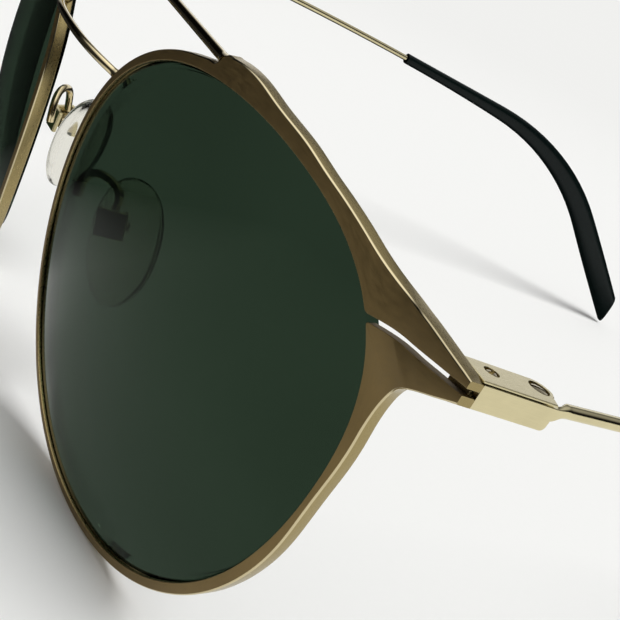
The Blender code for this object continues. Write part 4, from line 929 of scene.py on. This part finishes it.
def brushed_sheet(tint):
    """Stainless sheet with an antique gold coating, brushed along the rim: fine lines 0.05 mm
    apart and 1.2 mm long spread the light across them and give the dull bronze face, whose
    tone clouds over 5.6 mm."""
    return new_look("brushed antique gold on stainless sheet", tint.sheet, (0.80, 1.12),
                    ((830.0, 20000.0, 1.0), 3.0, "UV"), METAL, (0.50, 0.62), (0.25, 4e-6),
                    cloud=(180.0, 2.0, "Object"), share=0.62)


def milled_edge(tint):
    """The sheet's cut edges: milled and tumbled, so smoother and paler than the face, with
    faint marks 0.12 mm apart that break up the long highlights."""
    return new_look("milled pale gold edge", tint.edge, (0.94, 1.04),
                    ((2500.0, 8000.0, 1.0), 2.0, "UV"), METAL, (0.24, 0.34), (0.05, 2e-6))


def polished_gold(name, color):
    """Stainless, gold plated and polished, as drawn wire or as a bevel: dark and bright bands
    run along it, and faint lines 0.08 mm apart and 2.5 mm long soften them a little."""
    return new_look(name, color, (0.93, 1.03), ((400.0, 12000.0, 1.0), 2.0, "UV"), METAL,
                    (0.06, 0.12), (0.08, 2e-6))


def machined_gold(name, color, scale, places, rough, strength):
    """Machined stainless with a pale gold coating: tool or brushing lines with a soft even
    sheen, and worn paler patches 2.4 mm across."""
    return new_look(name, color, (0.88, 1.05), (scale, 3.0, places), METAL, rough,
                    (strength, 4e-6), cloud=(420.0, 2.0, "Object"), share=0.5)


def tinted_glass(tint):
    """Mineral glass coloured through in grey-green: it darkens what lies behind it. Its index
    is set below the glass's own for a coating that leaves only a faint green mirror of the
    floor, and a trace of unevenness 17 mm across in the tint keeps it from looking flat."""
    return new_look("grey-green tinted lens glass", tint.lens, (0.94, 1.06), (60.0, 1.0, "Object"),
                    {"Roughness": 0.0, "IOR": 1.14, "Specular Tint": (0.6, 1.0, 0.55, 1.0),
                     "Transmission Weight": 1.0})


def tumbled_acetate(tint):
    """Cellulose acetate, tumbled to a soft gloss: nearly black green with slightly lighter
    flecks 1.5 mm long in its depth, and an orange-peel unevenness of 0.7 mm in the gloss."""
    return new_look("tumbled green-black acetate", tint.tip, (0.75, 1.35),
                    ((650.0, 2400.0, 1.0), 3.0, "UV"), {"IOR": 1.49, "Specular IOR Level": 0.16},
                    (0.16, 0.26), (0.12, 1e-5), skin=(1500.0, 2.0, "Object"))


def moulded_silicone(tint):
    """Moulded silicone, clear with a satin skin: light passes through it softly and its
    edge glows, with a moulding texture of 0.25 mm."""
    return new_look("clear moulded silicone", tint.pad, (0.95, 1.0), (4000.0, 2.0, "Object"),
                    {"IOR": 1.41, "Transmission Weight": 1.0}, (0.06, 0.12), (0.1, 1e-5))


def studio_floor(tint):
    """Matt white paper sweep, with fibres 1.1 mm long that show as a trace of cloud. From 0.22
    to 0.55 m out it passes to the same white as plain light, for camera and mirror rays, so it
    stays even to its far edge; what is seen through a lens or a pad is that white everywhere,
    as real ones let the light through to the paper. Mirrors see a painted reflection: from
    0.17 m in front of the pair's middle and from 15 mm on the right of it the floor fades to a
    nearly black glow, painted shade that stands for the dark of the room."""
    look = new_look("white studio sweep", tint.floor, (0.985, 1.0), (900.0, 3.0, "Object"),
                    {"Roughness": 0.75, "Specular IOR Level": 0.2}, span=(0.0, 1.0))
    tree = look.node_tree
    place = add(tree, "TexCoord").outputs["Object"]
    split = add(tree, "SeparateXYZ", Vector=place).outputs
    rays = add(tree, "LightPath").outputs
    far = add(tree, "VectorMath", {"operation": "LENGTH"}, i0=place).outputs["Value"]
    plain = add(tree, "MapRange", {**carried(0.22, 0.55), "interpolation_type": "SMOOTHSTEP"},
                Value=far)
    seen = add(tree, "Math", {"operation": "MAXIMUM"}, i0=rays["Is Camera Ray"],
               i1=rays["Is Glossy Ray"])
    plain = add(tree, "Math", {"operation": "MULTIPLY"}, i0=plain, i1=seen)
    plain = add(tree, "Math", {"operation": "MAXIMUM"}, i0=plain, i1=rays["Is Transmission Ray"])
    glow = add(tree, "Emission", {"Color": (*shade(tint.floor, 0.985), 1.0), "Strength": 1.0})
    paper = add(tree, "MixShader", Fac=plain, i1=tree.nodes["Principled BSDF"], i2=glow)
    # Painted reflection: where mirrors look at the floor in front and on the right, it is painted
    # dark
    dark = add(tree, "Math", {"operation": "MAXIMUM"},
               i0=add(tree, "MapRange", carried(-0.40, -0.17, 1.0, 0.0), Value=split["Y"]),
               i1=add(tree, "MapRange", carried(-0.055, -0.015, 1.0, 0.0), Value=split["X"]))
    # A sharp ray through glass counts as glossy too, so those are taken off
    mirrored = add(tree, "Math", {"operation": "SUBTRACT"}, i0=rays["Is Glossy Ray"],
                   i1=rays["Is Transmission Ray"])
    mirrored = add(tree, "Math", {"operation": "MAXIMUM", 1: 0.0}, i0=mirrored)
    dark = add(tree, "Math", {"operation": "MULTIPLY"}, i0=dark, i1=mirrored)
    # The painted shade that mirrors see there: a glow of 2% white in place of the lit floor
    room = add(tree, "Emission", {"Color": (1.0, 1.0, 1.0, 1.0), "Strength": 0.02})
    whole = add(tree, "MixShader", Fac=dark, i1=paper, i2=room)
    tree.links.new(whole.outputs[0], tree.nodes["Material Output"].inputs["Surface"])
    return look


LOOKS = {
    "sheet": brushed_sheet, "edge": milled_edge, "lens": tinted_glass, "tip": tumbled_acetate,
    "pad": moulded_silicone, "floor": studio_floor,
    "bevel": lambda tint: polished_gold("polished bevel on stainless sheet", tint.bevel),
    "wire": lambda tint: polished_gold("polished gold plated wire", tint.wire),
    # Drawn bar, polished: lines 0.11 mm apart along it under a clear gloss
    "bar": lambda tint: machined_gold("polished pale gold temple bar", tint.satin,
                                      (500.0, 9000.0, 1.0), "UV", (0.08, 0.14), 0.1),
    # Milled block, glass-bead satin: lines 1.1 mm long that run front to back
    "block": lambda tint: machined_gold("satin pale gold hinge block", tint.satin,
                                        (16000.0, 900.0, 16000.0), "Object", (0.24, 0.36), 0.18),
    # Turned screw: an even grain of 0.17 mm, greyer than the gold round it
    "screw": lambda tint: machined_gold("turned steel screw", tint.screw, 6000.0, "Object",
                                        (0.16, 0.28), 0.1),
    # Saw cut: rough, in painted shade: the screw's colour at 6%, nearly black, as no light gets in
    "sawn": lambda tint: machined_gold("sawn steel in painted shade", shade(tint.screw, 0.06),
                                       (900.0, 16000.0, 900.0), "Object", (0.5, 0.7), 0.1)}


def look_of(name):
    """Finish by its short name, made once from the scene's colour settings."""
    scene = bpy.context.scene
    if scene.get("look_" + name, "") not in bpy.data.materials:
        scene["look_" + name] = LOOKS[name](scene.sunglasses_colours).name
    return bpy.data.materials[scene["look_" + name]]


def studio_world(scene):
    """What metal mirrors: a dark room, a softbox overhead that is stronger in front, and the
    white wall beyond the floor's far side. The camera, and what is seen through a lens or a
    pad, gets the floor's white."""
    world = scene.world = bpy.data.worlds.new("studio")
    world.use_nodes = True
    tree = world.node_tree
    white = (1.0, 1.0, 1.0, 1.0)
    diffuse = add(tree, "Background", {"Color": white, "Strength": ROOM_LIGHT})
    sky = add(tree, "TexCoord").outputs["Generated"]
    way = add(tree, "SeparateXYZ", Vector=sky).outputs
    # The softbox: how bright a way upwards is, then its share forwards and where it ends in X
    over = add(tree, "MapRange", carried(0.41, 0.78, 0.025, 1.15), Value=way["Z"])
    for limits, axis in ((carried(-0.1, 0.45, 1.25, 0.5), "Y"),
                         (carried(-0.79, -0.72, 0.05, 1.0), "X")):
        over = add(tree, "Math", {"operation": "MULTIPLY"}, i0=over,
                   i1=add(tree, "MapRange", limits, Value=way[axis]))
    # The wall: ways near the one to its middle, as far up as it reaches
    facing = add(tree, "VectorMath", {"operation": "DOT_PRODUCT", 1: (-0.84, 0.54, 0.0)}, i0=sky)
    wall = add(tree, "Math", {"operation": "MULTIPLY"},
               i0=add(tree, "MapRange", carried(0.78, 0.96), Value=facing.outputs["Value"]),
               i1=add(tree, "MapRange", carried(0.32, 0.5, 1.0, 0.0), Value=way["Z"]))
    level = add(tree, "Math", {"operation": "MAXIMUM"}, i0=over, i1=wall)
    room = add(tree, "Background", {"Color": white}, Strength=level)
    pale = add(tree, "Background", {"Color": (*linear(PALE), 1.0), "Strength": 1.0})
    rays = add(tree, "LightPath").outputs
    seen = add(tree, "Math", {"operation": "MAXIMUM"}, i0=rays["Is Camera Ray"],
               i1=rays["Is Transmission Ray"])
    mirror = add(tree, "MixShader", Fac=rays["Is Glossy Ray"], i1=diffuse, i2=room)
    whole = add(tree, "MixShader", Fac=seen, i1=mirror, i2=pale)
    tree.links.new(whole.outputs[0], tree.nodes["World Output"].inputs["Surface"])


class SUNGLASSES_OT_rims(bpy.types.Operator):
    """Build both rims with their slotted arms"""
    bl_idname = "sunglasses.rims"
    bl_label = "Rims"

    def execute(self, context):
        grid, uv, face_slot = rim_grid(context.scene.sunglasses_sizes.edge_break / MM)
        for word, side in SIDES:
            made_piece("rim_sheet_" + word, grid, ("sheet", "edge", "bevel"), "front",
                       "rim_" + word, side, uv=uv, face_slot=face_slot, sharp=24.0)
        return {"FINISHED"}


class SUNGLASSES_OT_lenses(bpy.types.Operator):
    """Build both tinted lenses"""
    bl_idname = "sunglasses.lenses"
    bl_label = "Lenses"

    def execute(self, context):
        grid = lens_grid()
        for word, side in SIDES:
            made_piece("lens_glass_" + word, grid, ["lens"], "front", "lens_" + word,
                       side, ends="point", sharp=30.0)
        return {"FINISHED"}


class SUNGLASSES_OT_bridges(bpy.types.Operator):
    """Build the bridge wire, bowed forwards and up by 1 - |t|^2.6, and the straight brow bar"""
    bl_idname = "sunglasses.bridges"
    bl_label = "Bridge and brow bar"

    def execute(self, context):
        size = context.scene.sunglasses_sizes
        share = np.linspace(-1.0, 1.0, 161)
        bow = np.array([0.0, -size.bridge_bow, size.bridge_arch]) / MM
        lean = math.radians(BRIDGE_ANGLE)
        joined_wire("bridge_wire", (share, (1.0 - np.abs(share) ** 2.6)[:, None] * bow),
                    wall_middle(polar(BRIDGE_ANGLE, BAND)), (math.cos(lean), math.sin(lean)),
                    size.bridge_wire / MM, "bridge")
        low, high = (polar(turn, rim_band(turn)) for turn in (LUG_FOOT, LUG_CREST))
        slope = unit(high - low)
        joined_wire("brow_wire", (np.linspace(-1.0, 1.0, 241), 0.0),
                    wall_middle((low + high) / 2.0), (-slope[1], slope[0]),
                    size.brow_wire / MM, "brow_bar")
        return {"FINISHED"}


class SUNGLASSES_OT_blocks(bpy.types.Operator):
    """Build the closing blocks and the screws that hold rim and temple"""
    bl_idname = "sunglasses.blocks"
    bl_label = "Closing blocks and screws"

    def execute(self, context):
        for word, side in SIDES:
            for part in ("upper_", "lower_"):
                eased_copy("closing_block_" + part + word, "block_" + part + word,
                           side)
            for label, back, head, turn in (
                    ("rim_screw_", RIM_SCREW_BACK, RIM_SCREW_HEAD, 35.0),
                    ("hinge_screw_", BLOCK_LENGTH, HINGE_SCREW_HEAD, -25.0)):
                name = label + "head_" + word
                placed(name, screw_mesh(name, back, head, turn, side), "front", label + word,
                       30.0)
            finish_nodes("temple_eye_" + word)
        return {"FINISHED"}


class SUNGLASSES_OT_temples(bpy.types.Operator):
    """Build both temples: plate, neck and bar in one piece"""
    bl_idname = "sunglasses.temples"
    bl_label = "Temples"

    def execute(self, context):
        grid, uv = temple_grid(context.scene.sunglasses_sizes.bar_size / MM)
        for word, side in SIDES:
            made_piece("temple_bar_" + word, grid, ["bar"], "temple_arm_" + word,
                       "temple_" + word, side, uv=uv, sharp=40.0)
        return {"FINISHED"}


class SUNGLASSES_OT_tips(bpy.types.Operator):
    """Build the acetate tips over the temples' ends"""
    bl_idname = "sunglasses.tips"
    bl_label = "Temple tips"

    def execute(self, context):
        grid, uv = tip_grid(context.scene.sunglasses_sizes.tip_height / MM)
        for word, side in SIDES:
            made_piece("tip_sleeve_" + word, grid, ["tip"], "temple_arm_" + word,
                       "temple_tip_" + word, side, uv=uv, sharp=50.0)
        return {"FINISHED"}


class SUNGLASSES_OT_pads(bpy.types.Operator):
    """Build the nose pads with their boxes and bent wire arms"""
    bl_idname = "sunglasses.pads"
    bl_label = "Nose pads"

    def execute(self, context):
        wire = context.scene.sunglasses_sizes.pad_wire / MM
        path, ends = pad_arm_path(16)
        pad = pad_grid()
        for word, side in SIDES:
            made_piece("pad_soft_" + word, pad, ["pad"], "pad_rocker_" + word,
                       "nose_pad_" + word, side, ends="point", sharp=70.0)
            cut_wire("pad_arm_wire_" + word, path, wire / 2.0, 24, ends, "nose_pad_arm_" + word,
                     side)
            eased_copy("pad_box_" + word, "pad_case_" + word)
            finish_nodes("pad_insert_" + word, "pad_screw_" + word)
        return {"FINISHED"}


class SUNGLASSES_OT_stage(bpy.types.Operator):
    """Set the pale floor, the soft light and the camera"""
    bl_idname = "sunglasses.stage"
    bl_label = "Stage"

    def execute(self, context):
        corners = [(x * FLOOR_SIZE, y * FLOOR_SIZE, -FLOOR_DROP)
                   for x, y in ((-1, -1), (1, -1), (1, 1), (-1, 1))]
        linked("floor", mesh_of("floor", corners, [(0, 1, 2, 3)], ["floor"]))

        lamp = bpy.data.lights.new("overhead softbox", "SUN")
        lamp.energy, lamp.angle = LAMP_STRENGTH, math.radians(LAMP_SPREAD)
        light = linked("overhead softbox", lamp)
        towards = unit(np.array(LAMP_PLACE))
        across = unit(np.cross((0.0, 1.0, 0.0), towards))
        axes = np.stack([across, np.cross(towards, across), towards], axis=1)
        light.matrix_world = Matrix(axes.tolist()).to_4x4()
        light.visible_glossy = False
        studio_world(context.scene)

        lens = bpy.data.cameras.new("camera")
        lens.lens, lens.sensor_width, lens.sensor_fit = CAMERA_LENS, CAMERA_SENSOR, "HORIZONTAL"
        lens.clip_start, lens.clip_end = 0.002, 20.0
        camera = linked("camera", lens)
        place = np.eye(4)
        place[:3, :3] = np.stack([CAMERA_RIGHT, CAMERA_UP, CAMERA_BACK], axis=1)
        place[:3, 3] = metres(rim_place + np.array(CAMERA_PLACE))
        camera.matrix_world = Matrix(place.tolist())
        context.scene.camera = camera
        context.scene.view_settings.view_transform = "Standard"
        return {"FINISHED"}


class SUNGLASSES_PT_panel(bpy.types.Panel):
    """Lists the pieces of the sunglasses and their settings"""
    bl_idname = "SUNGLASSES_PT_panel"
    bl_label = "Sunglasses"
    bl_space_type = "VIEW_3D"
    bl_region_type = "UI"
    bl_category = "Sunglasses"

    def draw(self, context):
        for kind in OPERATORS:
            self.layout.operator(kind.bl_idname)
        for group in (context.scene.sunglasses_sizes, context.scene.sunglasses_colours):
            column = self.layout.column()
            for name in group.__annotations__:
                column.prop(group, name)


OPERATORS = (SUNGLASSES_OT_rims, SUNGLASSES_OT_lenses, SUNGLASSES_OT_bridges, SUNGLASSES_OT_blocks,
             SUNGLASSES_OT_temples, SUNGLASSES_OT_tips, SUNGLASSES_OT_pads, SUNGLASSES_OT_stage)
CLASSES = (SunglassesSizes, SunglassesColours, *OPERATORS, SUNGLASSES_PT_panel)


def register():
    for kind in CLASSES:
        bpy.utils.register_class(kind)
    bpy.types.Scene.sunglasses_sizes = bpy.props.PointerProperty(type=SunglassesSizes)
    bpy.types.Scene.sunglasses_colours = bpy.props.PointerProperty(type=SunglassesColours)


def unregister():
    del bpy.types.Scene.sunglasses_colours
    del bpy.types.Scene.sunglasses_sizes
    for kind in reversed(CLASSES):
        bpy.utils.unregister_class(kind)


def main():
    """Registers the classes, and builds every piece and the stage."""
    register()
    bpy.ops.sunglasses.rims()
    bpy.ops.sunglasses.lenses()
    bpy.ops.sunglasses.bridges()
    bpy.ops.sunglasses.blocks()
    bpy.ops.sunglasses.temples()
    bpy.ops.sunglasses.tips()
    bpy.ops.sunglasses.pads()
    bpy.ops.sunglasses.stage()
    bpy.context.view_layer.update()


if __name__ == "__main__":
    main()
